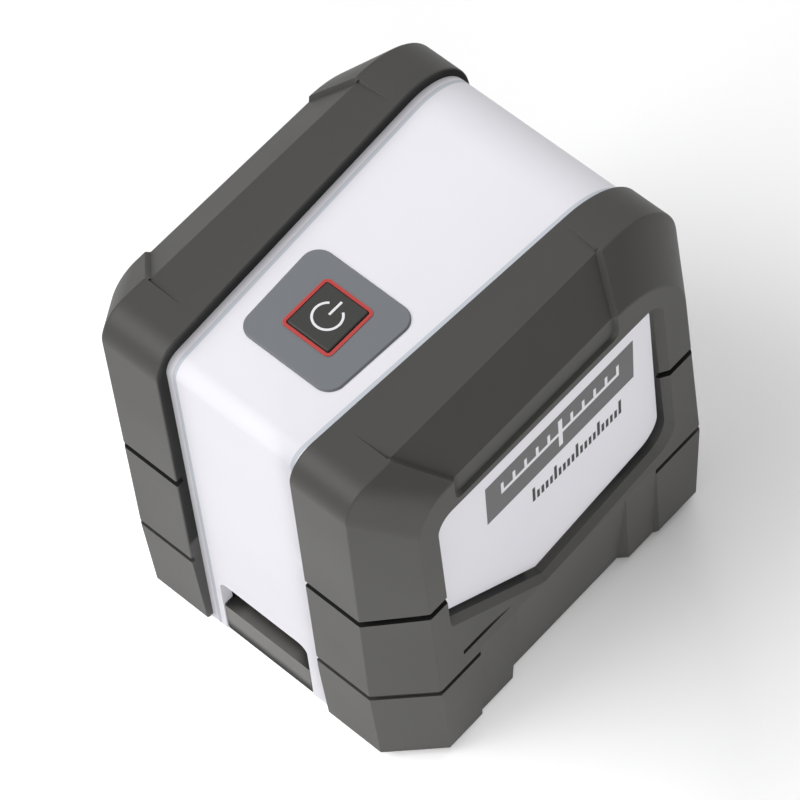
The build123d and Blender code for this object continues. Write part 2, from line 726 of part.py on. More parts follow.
def indicator_ring():
    """Red light guide round the button, put in from below against its flange."""
    grown = 2 * RING_FLANGE
    line = 2 * RING_LINE
    part = along_z(button_outline(RING_WIDTH, RING_LENGTH, RING_RADIUS), (RING_LOW, RING_TOP))
    flange = button_outline(RING_WIDTH + grown, RING_LENGTH + grown, RING_RADIUS + RING_FLANGE)
    part += along_z(flange, (RING_LOW, CAVITY_TOP))
    hole_radius = max(RING_RADIUS - RING_LINE, LEAST_RADIUS / 2)
    hole = button_outline(RING_WIDTH - line, RING_LENGTH - line, hole_radius)
    return part - along_z(hole, (RING_LOW, RING_TOP))


def button_cap():
    """Black push button, kept in by the flange under the indicator frame."""
    shrunk = 2 * (RING_LINE + BUTTON_GAP)
    width, length = RING_WIDTH - shrunk, RING_LENGTH - shrunk
    radius = max(RING_RADIUS - RING_LINE, LEAST_RADIUS / 2)
    low = BUTTON_FLANGE_TOP - BUTTON_FLANGE_THICK
    part = along_z(button_outline(width, length, radius), (low, BUTTON_TOP))
    part = fillet(part.faces().sort_by(Axis.Z)[-1].edges(), min(BUTTON_RISE, radius) * 0.8)
    grown = 2 * BUTTON_FLANGE
    part += along_z(button_outline(width + grown, length + grown, radius), (low, BUTTON_FLANGE_TOP))
    return part + post(0, BUTTON_Y, (BUTTON_LOW, low), BUTTON_STEM_RADIUS)


def switch_plunger():
    """The switch's own plunger, which the button's stem rests on."""
    return post(0, BUTTON_Y, (SWITCH_TOP - PLUNGER_GUIDE, BUTTON_LOW), PLUNGER_RADIUS)


def tact_switch():
    """Body of the push switch, with the bore that its plunger sinks into."""
    half = SWITCH_SIZE / 2
    part = block((-half, half), (BUTTON_Y - half, BUTTON_Y + half), (SWITCH_BOARD_TOP, SWITCH_TOP))
    bore = (SWITCH_BOARD_TOP + SWITCH_FLOOR, SWITCH_TOP)
    return part - post(0, BUTTON_Y, bore, PLUNGER_RADIUS + RUNNING_GAP)


def switch_places():
    """Where the switch board is screwed up to the sleeve's bosses."""
    return [(x * SWITCH_BOSS_X, BUTTON_Y + y * SWITCH_BOSS_Y) for x in (-1, 1) for y in (-1, 1)]


def switch_board():
    """Small board under the button."""
    shape = button_outline(SWITCH_BOARD_WIDTH, SWITCH_BOARD_LENGTH, RING_RADIUS)
    part = along_z(shape, (SWITCH_BOARD_TOP - BOARD_THICK, SWITCH_BOARD_TOP))
    for x, y in switch_places():
        part -= post(x, y, (SWITCH_BOARD_TOP - BOARD_THICK, SWITCH_BOARD_TOP), SMALL_SHANK + SCREW_GAP)
    return part


def switch_board_screws():
    """Four small screws that hold the switch board up."""
    seat = SWITCH_BOARD_TOP - BOARD_THICK
    screws = []
    for x, y in switch_places():
        shank = post(x, y, (seat, SWITCH_BOARD_TOP + SMALL_REACH - SCREW_GAP), SMALL_SHANK)
        screws.append(shank + post(x, y, (seat - SMALL_HEAD_HEIGHT, seat), SMALL_HEAD))
    return Part() + screws


def knuckles():
    """Limits along X of the door's two hinge knuckles and of the base's three."""
    inner = KNUCKLE_LENGTH - DOOR_GAP / 2
    outer = 2 * KNUCKLE_LENGTH - DOOR_GAP / 2
    door = [(-outer, -inner), (inner, outer)]
    base = [
        (-OPENING_HALF, -outer - DOOR_GAP),
        (-inner + DOOR_GAP, inner - DOOR_GAP),
        (outer + DOOR_GAP, OPENING_HALF),
    ]
    return door, base


def frame_screw_places():
    """Where the gimbal frame is screwed to the base."""
    half = FRAME_SCREW_SPACING / 2
    return [(x * FRAME_SCREW_X, AXIS_Y + y * half) for x in (-1, 1) for y in (-1, 1)]


def peg_places():
    """Where the base's pegs hold the magnet plate."""
    half = PEG_SPACING / 2
    return [(x * half, AXIS_Y + y * half) for x in (-1, 1) for y in (-1, 1)]


def main_board_places():
    """Where the main board is screwed to the battery box, in (X, Z)."""
    x = MAIN_BOARD_WIDTH / 2 - MAIN_BOARD_INSET
    heights = (MAIN_BOARD_LOW + MAIN_BOARD_INSET, MAIN_BOARD_HIGH - MAIN_BOARD_INSET)
    return [(side * x, z) for side in (-1, 1) for z in heights]


def base():
    """Base moulding: floor, battery tubes, finger well, tripod boss, pegs and hinge knuckles."""
    half = HALF_SHELL - FIT
    floor = (0, BASE_TOP)
    part = block((-half, half), (CAVITY_REAR + FIT, CAVITY_FRONT - FIT), floor)
    part += block((-BOX_HALF, BOX_HALF), (BOX_REAR, BOX_FRONT), (BASE_TOP, BOX_TOP))
    well_out = (NOTCH_SIDES[0] - WELL_WALL, NOTCH_SIDES[1] + WELL_WALL)
    well_y = (CAVITY_REAR + FIT, BOX_REAR)
    part += block(well_out, well_y, (BASE_TOP, NOTCH_TOP + WELL_WALL))
    part -= block(NOTCH_SIDES, well_y, (0, NOTCH_TOP))
    for x, z in main_board_places():
        part += rod_y(x, (BOX_FRONT, BOARD_REAR), z, STANDOFF_RADIUS)
        part -= rod_y(x, (BOX_FRONT - BOX_WALL / 2, BOARD_REAR), z, SMALL_SHANK + SCREW_GAP)
    part += post(0, AXIS_Y, (0, BOSS_TOP), INSERT_RADIUS + BOSS_WALL)
    part -= post(0, AXIS_Y, (0, SHELL_LIFT + INSERT_LENGTH), INSERT_RADIUS + PRESS_GAP)
    for x, y in peg_places():
        part += post(x, y, (BASE_TOP, BOSS_TOP), PEG_POST_RADIUS)
        part += post(x, y, (BOSS_TOP, MAGNET_LOW + PEG_RIVET), PEG_RADIUS)
    for x, y in frame_screw_places():
        part -= post(x, y, (BASE_TOP - FRAME_SCREW_REACH, BASE_TOP), FRAME_SHANK + SCREW_GAP)
    for side in (-1, 1):
        for y in CASE_SCREW_YS:
            x = side * CASE_SCREW_X
            part -= post(x, y, floor, CASE_SHANK + FIT)
            part -= post(x, y, (0, SHELL_LIFT + CASE_HEAD_HEIGHT), CASE_HEAD + FIT)
    opening = (-OPENING_HALF, OPENING_HALF)
    part -= block(opening, (OPENING_REAR, HINGE_Y + HINGE_CLEAR), floor)
    part -= block(NOTCH_SIDES, (BOX_REAR, OPENING_REAR), floor)
    for side in (-1, 1):
        part -= post(side * CELL_X, CELL_Y, (0, BOX_CEILING), CELL_BORE)
        slot = (CELL_Y - CONTACT_TAIL_WIDTH / 2 - FIT, CELL_Y + CONTACT_TAIL_WIDTH / 2 + FIT)
        slot_x = (side * CELL_X - CONTACT_THICK / 2 - FIT, side * CELL_X + CONTACT_THICK / 2 + FIT)
        part -= block(slot_x, slot, (BOX_CEILING, BOX_TOP))
    strip_half = DOOR_CONTACT_WIDTH / 2 + DOOR_GAP
    strip_z = (BASE_TOP, DOOR_TOP + CONTACT_THICK + DOOR_GAP)
    part -= block((-CELL_X, CELL_X), (CELL_Y - strip_half, CELL_Y + strip_half), strip_z)
    under_hinge = (BASE_TOP, HINGE_Z + HINGE_CLEAR)
    part -= block(opening, (HINGE_Y - HINGE_CLEAR, BOX_FRONT), under_hinge)
    for x in knuckles()[1]:
        part += rod_x(x, HINGE_Y, HINGE_Z, KNUCKLE_RADIUS)
        part += block(x, (HINGE_Y, HINGE_Y + HINGE_CLEAR), (HINGE_Z - PIN_RADIUS, BASE_TOP))
    return part - rod_x(opening, HINGE_Y, HINGE_Z, PIN_RADIUS + PRESS_GAP)


def hinge_pin():
    """Steel pin of the battery door's hinge."""
    return rod_x((-OPENING_HALF, OPENING_HALF), HINGE_Y, HINGE_Z, PIN_RADIUS)


def battery_door():
    """Battery door: a plate on its hinge, with the lip and ledge that a fingertip hooks behind."""
    rear = OPENING_REAR + DOOR_GAP
    near = HINGE_Y - HINGE_CLEAR
    plate = (DOOR_LOW, DOOR_TOP)
    part = block((-DOOR_HALF, DOOR_HALF), (rear, near), plate)
    for x in knuckles()[0]:
        part += block(x, (near, HINGE_Y), plate)
        part += rod_x(x, HINGE_Y, HINGE_Z, KNUCKLE_RADIUS)
    part -= rod_x((-DOOR_HALF, DOOR_HALF), HINGE_Y, HINGE_Z, PIN_RADIUS + RUNNING_GAP)
    lip_rear = SHELL_REAR + FIT
    ledge_front = BOX_REAR - DOOR_GAP
    lip = block(LIP_SIDES, (lip_rear, ledge_front), (DOOR_LOW, LEDGE_Z))
    hollow = (LIP_SIDES[0] + LIP_WALL, LIP_SIDES[1] - LIP_WALL)
    lip -= block(hollow, (lip_rear + LIP_WALL, ledge_front), (DOOR_TOP, LEDGE_Z - LIP_WALL))
    return part + lip + block(LIP_SIDES, (ledge_front, rear), plate)


def door_contact():
    """Sprung strip on the door that joins the two cells."""
    low, high = DOOR_TOP, CELL_LOW - FIT
    half = DOOR_CONTACT_WIDTH / 2
    part = block((-CELL_X, CELL_X), (CELL_Y - half, CELL_Y + half), (low, low + CONTACT_THICK))
    dome = Cone(half, CELL_NUB_RADIUS, high - low, align=(Align.CENTER, Align.CENTER, Align.MIN))
    for side in (-1, 1):
        part += Pos(side * CELL_X, CELL_Y, low) * dome
    return part


def cell(side):
    """One dry cell: nub up on the left, nub down on the right."""
    x = side * CELL_X
    if side < 0:
        can = (CELL_LOW, CELL_TOP - CELL_NUB_HEIGHT)
        nub = (CELL_TOP - CELL_NUB_HEIGHT, CELL_TOP)
    else:
        can = (CELL_LOW + CELL_NUB_HEIGHT, CELL_TOP)
        nub = (CELL_LOW, CELL_LOW + CELL_NUB_HEIGHT)
    part = post(x, CELL_Y, can, CELL_RADIUS)
    part = fillet(part.edges().filter_by(GeomType.CIRCLE), LEAST_RADIUS)
    return part + post(x, CELL_Y, nub, CELL_NUB_RADIUS)


def upper_contact(side):
    """Upper contact of one tube: a plate, a dome down to the cell and a tail up through the roof."""
    x = side * CELL_X
    half = CONTACT_WIDTH / 2
    tail = CONTACT_TAIL_WIDTH / 2
    low = BOX_CEILING - CONTACT_THICK
    part = block((x - half, x + half), (CELL_Y - half, CELL_Y + half), (low, BOX_CEILING))
    reach = low - CELL_TOP - FIT
    dome = Cone(CELL_NUB_RADIUS / 2, CELL_NUB_RADIUS, reach, align=(Align.CENTER, Align.CENTER, Align.MIN))
    part += Pos(x, CELL_Y, CELL_TOP + FIT) * dome
    thick = CONTACT_THICK / 2
    tail_z = (BOX_CEILING, BOX_TOP + CONTACT_TAIL)
    return part + block((x - thick, x + thick), (CELL_Y - tail, CELL_Y + tail), tail_z)


def case_screws():
    """Four screws from below through the base into the sleeve's bosses."""
    screws = []
    seat = SHELL_LIFT + CASE_HEAD_HEIGHT
    for side in (-1, 1):
        for y in CASE_SCREW_YS:
            x = side * CASE_SCREW_X
            head = post(x, y, (SHELL_LIFT, seat), CASE_HEAD)
            screws.append(head + post(x, y, (seat, BASE_TOP + CASE_SCREW_LENGTH - SCREW_GAP), CASE_SHANK))
    return Part() + screws


def tripod_insert():
    """Brass insert with the tripod thread, flanged at the mouth."""
    part = post(0, AXIS_Y, (SHELL_LIFT, SHELL_LIFT + INSERT_LENGTH), INSERT_RADIUS)
    mouth = part.edges().filter_by(GeomType.CIRCLE).sort_by(Axis.Z)[-1]
    part = chamfer(mouth, INSERT_LIP)
    return part - post(0, AXIS_Y, (SHELL_LIFT, SHELL_LIFT + THREAD_DEPTH), THREAD_RADIUS)


def window_bezel():
    """Dark frame in the front wall, with a rebate in its face for the gasket and glass."""
    seat = SHELL_FRONT - BEZEL_SEAT
    face = seat + BEZEL_FLANGE
    part = along_y(window_outline(0), (seat, face))
    part = chamfer(part.faces().sort_by(Axis.Y)[-1].edges(), BEZEL_FLANGE - BEZEL_SEAT - FIT)
    part += along_y(window_outline(BEZEL_RIM + FIT), (CAVITY_FRONT, seat))
    rebate = face - GLASS_SINK - GLASS_THICK - GASKET_THICK
    part -= along_y(window_outline(BEZEL_RIM), (rebate, face))
    return part - along_y(window_outline(BEZEL_RIM + BEZEL_LEDGE), (CAVITY_FRONT, face))


def window_gasket():
    """Rubber gasket behind the glass."""
    glass = SHELL_FRONT - BEZEL_SEAT + BEZEL_FLANGE - GLASS_SINK - GLASS_THICK
    limits = (glass - GASKET_THICK, glass)
    part = along_y(window_outline(BEZEL_RIM + FIT), limits)
    return part - along_y(window_outline(BEZEL_RIM + BEZEL_LEDGE), limits)


def window_glass():
    """Glass that the beams leave through."""
    face = SHELL_FRONT - BEZEL_SEAT + BEZEL_FLANGE - GLASS_SINK
    return along_y(window_outline(BEZEL_RIM + FIT), (face - GLASS_THICK, face))


def main_board():
    """Upright board with the laser drivers."""
    half = MAIN_BOARD_WIDTH / 2
    board_y = (BOARD_REAR, BOARD_FRONT)
    part = block((-half, half), board_y, (MAIN_BOARD_LOW, MAIN_BOARD_HIGH))
    for x, z in main_board_places():
        part -= rod_y(x, board_y, z, SMALL_SHANK + SCREW_GAP)
    return part


def main_board_screws():
    """Four small screws of the main board."""
    screws = []
    for x, z in main_board_places():
        shank = rod_y(x, (BOX_FRONT - BOX_WALL / 2 + SCREW_GAP, BOARD_FRONT), z, SMALL_SHANK)
        screws.append(shank + rod_y(x, (BOARD_FRONT, BOARD_FRONT + SMALL_HEAD_HEIGHT), z, SMALL_HEAD))
    return Part() + screws


def gimbal_frame():
    """Arch on the base that carries the pitch bearings above the pendulum."""
    y = (AXIS_Y - LEG_DEPTH / 2, AXIS_Y + LEG_DEPTH / 2)
    arch_top = BRIDGE_LOW + BRIDGE_THICK
    part = block((-LEG_OUTER, LEG_OUTER), y, (BASE_TOP, arch_top))
    part = fillet(part.edges().filter_by(Axis.Y).group_by(Axis.Z)[-1], LEG_THICK)
    part -= block((-LEG_INNER, LEG_INNER), y, (BASE_TOP, BRIDGE_LOW))
    tongue = TILT_PLATE_TONGUE / 2 + FIT
    tongue_x = LEG_INNER + TILT_PLATE_GRIP + FIT
    tongue_z = (TILT_PLATE_Z, TILT_PLATE_Z + TILT_PLATE_THICK)
    part -= block((-tongue_x, tongue_x), (AXIS_Y - tongue, AXIS_Y + tongue), tongue_z)
    for side in (-1, 1):
        foot = sorted((side * LEG_OUTER, side * (LEG_OUTER + FRAME_FOOT)))
        part += block(foot, y, (BASE_TOP, BASE_TOP + FRAME_FOOT_THICK))
        seat = sorted((side * LEG_INNER, side * (LEG_INNER + BEARING_WIDTH)))
        part -= rod_x(seat, AXIS_Y, PIVOT_Z, BEARING_RADIUS + PRESS_GAP)
        through = sorted((side * LEG_INNER, side * LEG_OUTER))
        part -= rod_x(through, AXIS_Y, PIVOT_Z, AXLE_RADIUS + BEARING_RACE)
    for x, y_screw in frame_screw_places():
        part -= post(x, y_screw, (BASE_TOP, BASE_TOP + FRAME_FOOT_THICK), FRAME_SHANK + SCREW_GAP)
    return part


def frame_screws():
    """Four screws that hold the gimbal frame to the base."""
    seat = BASE_TOP + FRAME_FOOT_THICK
    screws = []
    for x, y in frame_screw_places():
        shank = post(x, y, (BASE_TOP - FRAME_SCREW_REACH + SCREW_GAP, seat), FRAME_SHANK)
        screws.append(shank + post(x, y, (seat, seat + FRAME_HEAD_HEIGHT), FRAME_HEAD))
    return Part() + screws


def bearing():
    """Miniature ball bearing about Z: its two races with a sunk shield between them."""
    bore = AXLE_RADIUS + RUNNING_GAP
    part = Cylinder(BEARING_RADIUS, BEARING_WIDTH) - Cylinder(bore, BEARING_WIDTH)
    shield = Cylinder(BEARING_RADIUS - BEARING_RACE, BEARING_SHIELD)
    shield -= Cylinder(bore + BEARING_RACE, BEARING_SHIELD)
    for end in (-1, 1):
        part -= Pos(0, 0, end * (BEARING_WIDTH - BEARING_SHIELD) / 2) * shield
    return part


def pitch_bearings():
    """Pair of bearings in the gimbal frame's legs."""
    x = LEG_INNER + BEARING_WIDTH / 2
    return Part() + [Pos(side * x, AXIS_Y, PIVOT_Z) * Rot(0, 90, 0) * bearing() for side in (-1, 1)]


def roll_bearings():
    """Pair of bearings in the pendulum's hub."""
    y = HUB_LENGTH / 2 - BEARING_WIDTH / 2
    return Part() + [Pos(0, AXIS_Y + end * y, PIVOT_Z) * Rot(90, 0, 0) * bearing() for end in (-1, 1)]


def gimbal_ring():
    """Frame between the two pairs of pins."""
    outer = RectangleRounded(RING_X, RING_Y, RING_WALL)
    inner = RectangleRounded(RING_X - 2 * RING_WALL, RING_Y - 2 * RING_WALL, LEAST_RADIUS)
    height = (PIVOT_Z - RING_HEIGHT / 2, PIVOT_Z + RING_HEIGHT / 2)
    part = along_z(Pos(0, AXIS_Y) * (outer - inner), height)
    part -= rod_x((-RING_X / 2, RING_X / 2), AXIS_Y, PIVOT_Z, AXLE_RADIUS + PRESS_GAP)
    return part - rod_y(0, (AXIS_Y - RING_Y / 2, AXIS_Y + RING_Y / 2), PIVOT_Z, AXLE_RADIUS + PRESS_GAP)


def pitch_pins():
    """Pair of steel pins from the gimbal ring out to the frame's bearings."""
    inner = RING_X / 2 - RING_WALL
    outer = LEG_INNER + BEARING_WIDTH
    pins = [rod_x(sorted((side * inner, side * outer)), AXIS_Y, PIVOT_Z, AXLE_RADIUS) for side in (-1, 1)]
    return Part() + pins


def roll_pins():
    """Pair of steel pins from the gimbal ring in to the pendulum's bearings."""
    outer = RING_Y / 2
    inner = HUB_LENGTH / 2 - BEARING_WIDTH
    pins = []
    for end in (-1, 1):
        limits = sorted((AXIS_Y + end * inner, AXIS_Y + end * outer))
        pins.append(rod_y(0, limits, PIVOT_Z, AXLE_RADIUS))
    return Part() + pins


def pendulum_body():
    """Cast pendulum: hub for the roll bearings, bores for the two lasers, stem for the damper."""
    half = BODY_WIDTH / 2
    part = block((-half, half), (AXIS_Y - BODY_REAR, AXIS_Y + BODY_FRONT), (BODY_LOW, BODY_TOP))
    part = chamfer(part.edges().filter_by(Axis.Z), BODY_EDGE)
    hub_y = (AXIS_Y - HUB_LENGTH / 2, AXIS_Y + HUB_LENGTH / 2)
    hub = block((-HUB_WIDTH / 2, HUB_WIDTH / 2), hub_y, (BODY_TOP, PIVOT_Z + HUB_RISE))
    part += fillet(hub.edges().filter_by(Axis.Y).group_by(Axis.Z)[-1], HUB_WIDTH / 4)
    part -= rod_y(0, hub_y, PIVOT_Z, HUB_BORE)
    for end in (-1, 1):
        outer = AXIS_Y + end * HUB_LENGTH / 2
        seat = sorted((outer, outer - end * BEARING_WIDTH))
        part -= rod_y(0, seat, PIVOT_Z, BEARING_RADIUS + PRESS_GAP)
    part += post(0, AXIS_Y, (STEM_LOW, BODY_LOW), STEM_RADIUS)
    part -= post(0, AXIS_Y, (STEM_LOW, STEM_LOW + DISC_SCREW_LENGTH), SMALL_SHANK + SCREW_GAP)
    for z in (LASER_LOW, LASER_HIGH):
        part -= rod_y(0, (AXIS_Y - BODY_REAR, AXIS_Y + BODY_FRONT), z, BARREL_RADIUS + PRESS_GAP)
        part -= rod_x((-half, half), AXIS_Y, z, GRUB_RADIUS + SCREW_GAP)
    for x, y in balance_places():
        part -= rod_y(x, y, BODY_LOW + BALANCE_Z, GRUB_RADIUS + SCREW_GAP)
    return part


def balance_places():
    """X and the limits along Y of the balance screws, from the rear and front faces in."""
    rear = AXIS_Y - BODY_REAR
    front = AXIS_Y + BODY_FRONT
    limits = ((rear, rear + BALANCE_LENGTH), (front - BALANCE_LENGTH, front))
    return [(side * BALANCE_X, y) for side in (-1, 1) for y in limits]


def balance_screws():
    """Four brass screws that bring the pendulum to plumb."""
    screws = []
    sink = GRUB_SINK / 2
    for x, y in balance_places():
        screws.append(rod_y(x, (y[0] + sink, y[1] - sink), BODY_LOW + BALANCE_Z, GRUB_RADIUS))
    return Part() + screws


def set_screws():
    """Four grub screws that hold the laser barrels in the pendulum."""
    inner = BARREL_RADIUS + SCREW_GAP
    outer = BODY_WIDTH / 2 - GRUB_SINK
    screws = []
    for z in (LASER_LOW, LASER_HIGH):
        for side in (-1, 1):
            screws.append(rod_x(sorted((side * inner, side * outer)), AXIS_Y, z, GRUB_RADIUS))
    return Part() + screws


def laser_barrel(z):
    """Brass barrel of one laser: a seat for the diode behind a wider bore."""
    part = rod_y(0, (BARREL_REAR, BARREL_FRONT), z, BARREL_RADIUS)
    part -= rod_y(0, (BARREL_REAR + DIODE_SEAT, BARREL_FRONT), z, BARREL_BORE)
    return part - rod_y(0, (BARREL_REAR, BARREL_FRONT), z, DIODE_RADIUS + PRESS_GAP)


def laser_diode(z):
    """Laser diode: flange, can and three pins."""
    flange = (BARREL_REAR, BARREL_REAR + DIODE_FLANGE)
    part = rod_y(0, flange, z, DIODE_RADIUS)
    part += rod_y(0, (flange[1], flange[1] + DIODE_CAN), z, DIODE_CAN_RADIUS)
    for angle in (0, 120, 240):
        x = DIODE_PIN_CIRCLE * math.sin(math.radians(angle))
        up = DIODE_PIN_CIRCLE * math.cos(math.radians(angle))
        part += rod_y(x, (BARREL_REAR - DIODE_PIN_LENGTH, BARREL_REAR), z + up, DIODE_PIN_RADIUS)
    return part


def collimator(z):
    """Glass lens in the barrel's bore, flat behind and domed in front."""
    low = BARREL_FRONT - LENS_SETBACK - LENS_THICK
    part = rod_y(0, (low, low + LENS_THICK), z, BARREL_BORE - PRESS_GAP)
    return part & (Pos(0, low + LENS_THICK - LENS_CURVE, z) * Sphere(LENS_CURVE))


def rod_lens(z, upright):
    """Glass rod that spreads the beam into a line, upright for the level line."""
    half = ROD_LENGTH / 2
    y = BARREL_FRONT + ROD_RADIUS + PRESS_GAP
    if upright:
        return post(0, y, (z - half, z + half), ROD_RADIUS)
    return rod_x((-half, half), y, z, ROD_RADIUS)


def lens_cap(z, upright):
    """Cap that holds the rod on the barrel's end, with a slot for the spread beam."""
    slot = CAP_SLOT / 2
    half = ROD_LENGTH / 2 + PRESS_GAP
    wide, tall = (slot, half) if upright else (half, slot)
    rod_end = BARREL_FRONT + 2 * (ROD_RADIUS + PRESS_GAP)
    front = rod_end + CAP_WALL
    part = rod_y(0, (BARREL_FRONT, front), z, BARREL_RADIUS)
    part -= block((-wide, wide), (rod_end - ROD_RADIUS, front), (z - tall, z + tall))
    wide, tall = (ROD_RADIUS + PRESS_GAP, half) if upright else (half, ROD_RADIUS + PRESS_GAP)
    return part - block((-wide, wide), (BARREL_FRONT, rod_end), (z - tall, z + tall))


def damper_disc():
    """Copper disc that swings over the magnets."""
    part = post(0, AXIS_Y, (DISC_LOW, STEM_LOW), DISC_RADIUS)
    part = fillet(part.edges().filter_by(GeomType.CIRCLE), LEAST_RADIUS)
    part -= post(0, AXIS_Y, (DISC_LOW, STEM_LOW), SMALL_SHANK + SCREW_GAP)
    return part - post(0, AXIS_Y, (DISC_LOW, DISC_LOW + SMALL_HEAD_HEIGHT), SMALL_HEAD + SCREW_GAP)


def disc_screw():
    """Screw that holds the disc under the stem."""
    seat = DISC_LOW + SMALL_HEAD_HEIGHT
    part = post(0, AXIS_Y, (DISC_LOW, seat), SMALL_HEAD)
    return part + post(0, AXIS_Y, (seat, STEM_LOW + DISC_SCREW_LENGTH - SCREW_GAP), SMALL_SHANK)


def magnet_plate():
    """Steel plate staked on the base's pegs under the magnets."""
    half = MAGNET_PLATE / 2
    height = (BOSS_TOP, MAGNET_LOW)
    part = block((-half, half), (AXIS_Y - half, AXIS_Y + half), height)
    for x, y in peg_places():
        part -= post(x, y, height, PEG_RADIUS + PRESS_GAP)
    return part


def damper_magnets():
    """Four disc magnets on the plate."""
    half = MAGNET_SPACING / 2
    height = (MAGNET_LOW, MAGNET_LOW + MAGNET_HEIGHT)
    places = [(x * half, AXIS_Y + y * half) for x in (-1, 1) for y in (-1, 1)]
    return Part() + [post(x, y, height, MAGNET_RADIUS) for x, y in places]


def tilt_contact():
    """Brass plate round the stem, which the stem touches when the tool stands too far out of level."""
    height = (TILT_PLATE_Z, TILT_PLATE_Z + TILT_PLATE_THICK)
    half = TILT_PLATE_LENGTH / 2
    tongue = TILT_PLATE_TONGUE / 2
    inner = LEG_INNER - FIT
    tip = LEG_INNER + TILT_PLATE_GRIP
    part = block((-inner, inner), (AXIS_Y - half, AXIS_Y + half), height)
    part += block((-tip, tip), (AXIS_Y - tongue, AXIS_Y + tongue), height)
    swing = (PIVOT_Z - TILT_PLATE_Z) * math.tan(math.radians(TILT_LIMIT))
    hole = STEM_RADIUS + swing + TILT_CLEAR
    return part - block((-hole, hole), (AXIS_Y - hole, AXIS_Y + hole), height)


right_bumper = bumper()
right_cover = side_cover()
nodes = {
    "main_shell": main_shell(),
    "bumper_right": right_bumper,
    "bumper_left": mirrored(right_bumper),
    "side_cover_right": right_cover,
    "side_cover_left": mirrored(right_cover),
    "base": base(),
    "case_screws": case_screws(),
    "tripod_insert": tripod_insert(),
    "battery_door": battery_door(),
    "door_contact": door_contact(),
    "hinge_pin": hinge_pin(),
    "cell_left": cell(-1),
    "cell_right": cell(1),
    "upper_contact_left": upper_contact(-1),
    "upper_contact_right": upper_contact(1),
    "button_plate": button_plate(),
    "indicator_ring": indicator_ring(),
    "button_cap": button_cap(),
    "switch_plunger": switch_plunger(),
    "tact_switch": tact_switch(),
    "switch_board": switch_board(),
    "switch_board_screws": switch_board_screws(),
    "window_bezel": window_bezel(),
    "window_gasket": window_gasket(),
    "window_glass": window_glass(),
    "main_board": main_board(),
    "main_board_screws": main_board_screws(),
    "gimbal_frame": gimbal_frame(),
    "frame_screws": frame_screws(),
    "pitch_bearings": pitch_bearings(),
    "gimbal_ring": gimbal_ring(),
    "pitch_pins": pitch_pins(),
    "roll_pins": roll_pins(),
    "roll_bearings": roll_bearings(),
    "pendulum_body": pendulum_body(),
    "balance_screws": balance_screws(),
    "set_screws": set_screws(),
    "damper_disc": damper_disc(),
    "disc_screw": disc_screw(),
    "magnet_plate": magnet_plate(),
    "damper_magnets": damper_magnets(),
    "tilt_contact": tilt_contact(),
}
for name, z, upright in (("level", LASER_HIGH, True), ("plumb", LASER_LOW, False)):
    nodes[f"laser_barrel_{name}"] = laser_barrel(z)
    nodes[f"laser_diode_{name}"] = laser_diode(z)
    nodes[f"collimator_{name}"] = collimator(z)
    nodes[f"rod_lens_{name}"] = rod_lens(z, upright)
    nodes[f"lens_cap_{name}"] = lens_cap(z, upright)

for name, part in nodes.items():
    export_step(part, f"parts/{name}.step")
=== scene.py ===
"""Two-line laser level: the finish of each piece, its printed marks, the light and the camera.

Everything is in metres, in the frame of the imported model: +X to the right bumper, +Y the way
the beams go, +Z up, with the tool standing on Z = 0.
"""

import math

import bmesh
import bpy
from mathutils import Matrix, Vector


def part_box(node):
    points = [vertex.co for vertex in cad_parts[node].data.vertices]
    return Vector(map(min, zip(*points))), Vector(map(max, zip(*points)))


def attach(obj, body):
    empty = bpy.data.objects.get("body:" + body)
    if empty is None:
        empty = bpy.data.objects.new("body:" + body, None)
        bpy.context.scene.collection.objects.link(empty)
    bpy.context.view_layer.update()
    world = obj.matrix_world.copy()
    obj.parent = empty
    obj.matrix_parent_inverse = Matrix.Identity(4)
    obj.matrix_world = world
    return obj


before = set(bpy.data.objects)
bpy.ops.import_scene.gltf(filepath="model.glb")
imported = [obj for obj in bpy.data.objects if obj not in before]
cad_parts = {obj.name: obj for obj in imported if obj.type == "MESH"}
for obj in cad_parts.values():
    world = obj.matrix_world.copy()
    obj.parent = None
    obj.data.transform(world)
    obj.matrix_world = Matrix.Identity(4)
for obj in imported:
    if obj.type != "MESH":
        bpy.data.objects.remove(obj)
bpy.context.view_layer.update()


# White sleeve and side covers: the sleeve is the rear, top and front walls of the case, screwed to
# the base from below. All are mouldings in white ABS with a fine spark-eroded grain. Under the
# bumpers the sleeve is coloured dark as painted shade, so that no white shows in their grooves.
def new_group(name, inputs, outputs):
    """An empty shader node group with named float inputs, given as defaults, and outputs."""
    group = bpy.data.node_groups.new(name, "ShaderNodeTree")
    for label, default in inputs.items():
        socket = group.interface.new_socket(label, in_out="INPUT", socket_type="NodeSocketFloat")
        socket.default_value = default
    for label in outputs:
        group.interface.new_socket(label, in_out="OUTPUT", socket_type="NodeSocketFloat")
    return group, group.nodes.new("NodeGroupInput"), group.nodes.new("NodeGroupOutput")


def object_place(tree):
    """The socket with the place on the object."""
    return tree.nodes.new("ShaderNodeTexCoord").outputs["Object"]


def place_axes(tree):
    """The X, Y and Z sockets of the place on the object."""
    axes = tree.nodes.new("ShaderNodeSeparateXYZ")
    tree.links.new(object_place(tree), axes.inputs["Vector"])
    return axes.outputs


def noise(tree, vector, detail):
    """A noise texture on the given coordinates, with its scale left to be linked."""
    texture = tree.nodes.new("ShaderNodeTexNoise")
    texture.inputs["Detail"].default_value = detail
    tree.links.new(vector, texture.inputs["Vector"])
    return texture


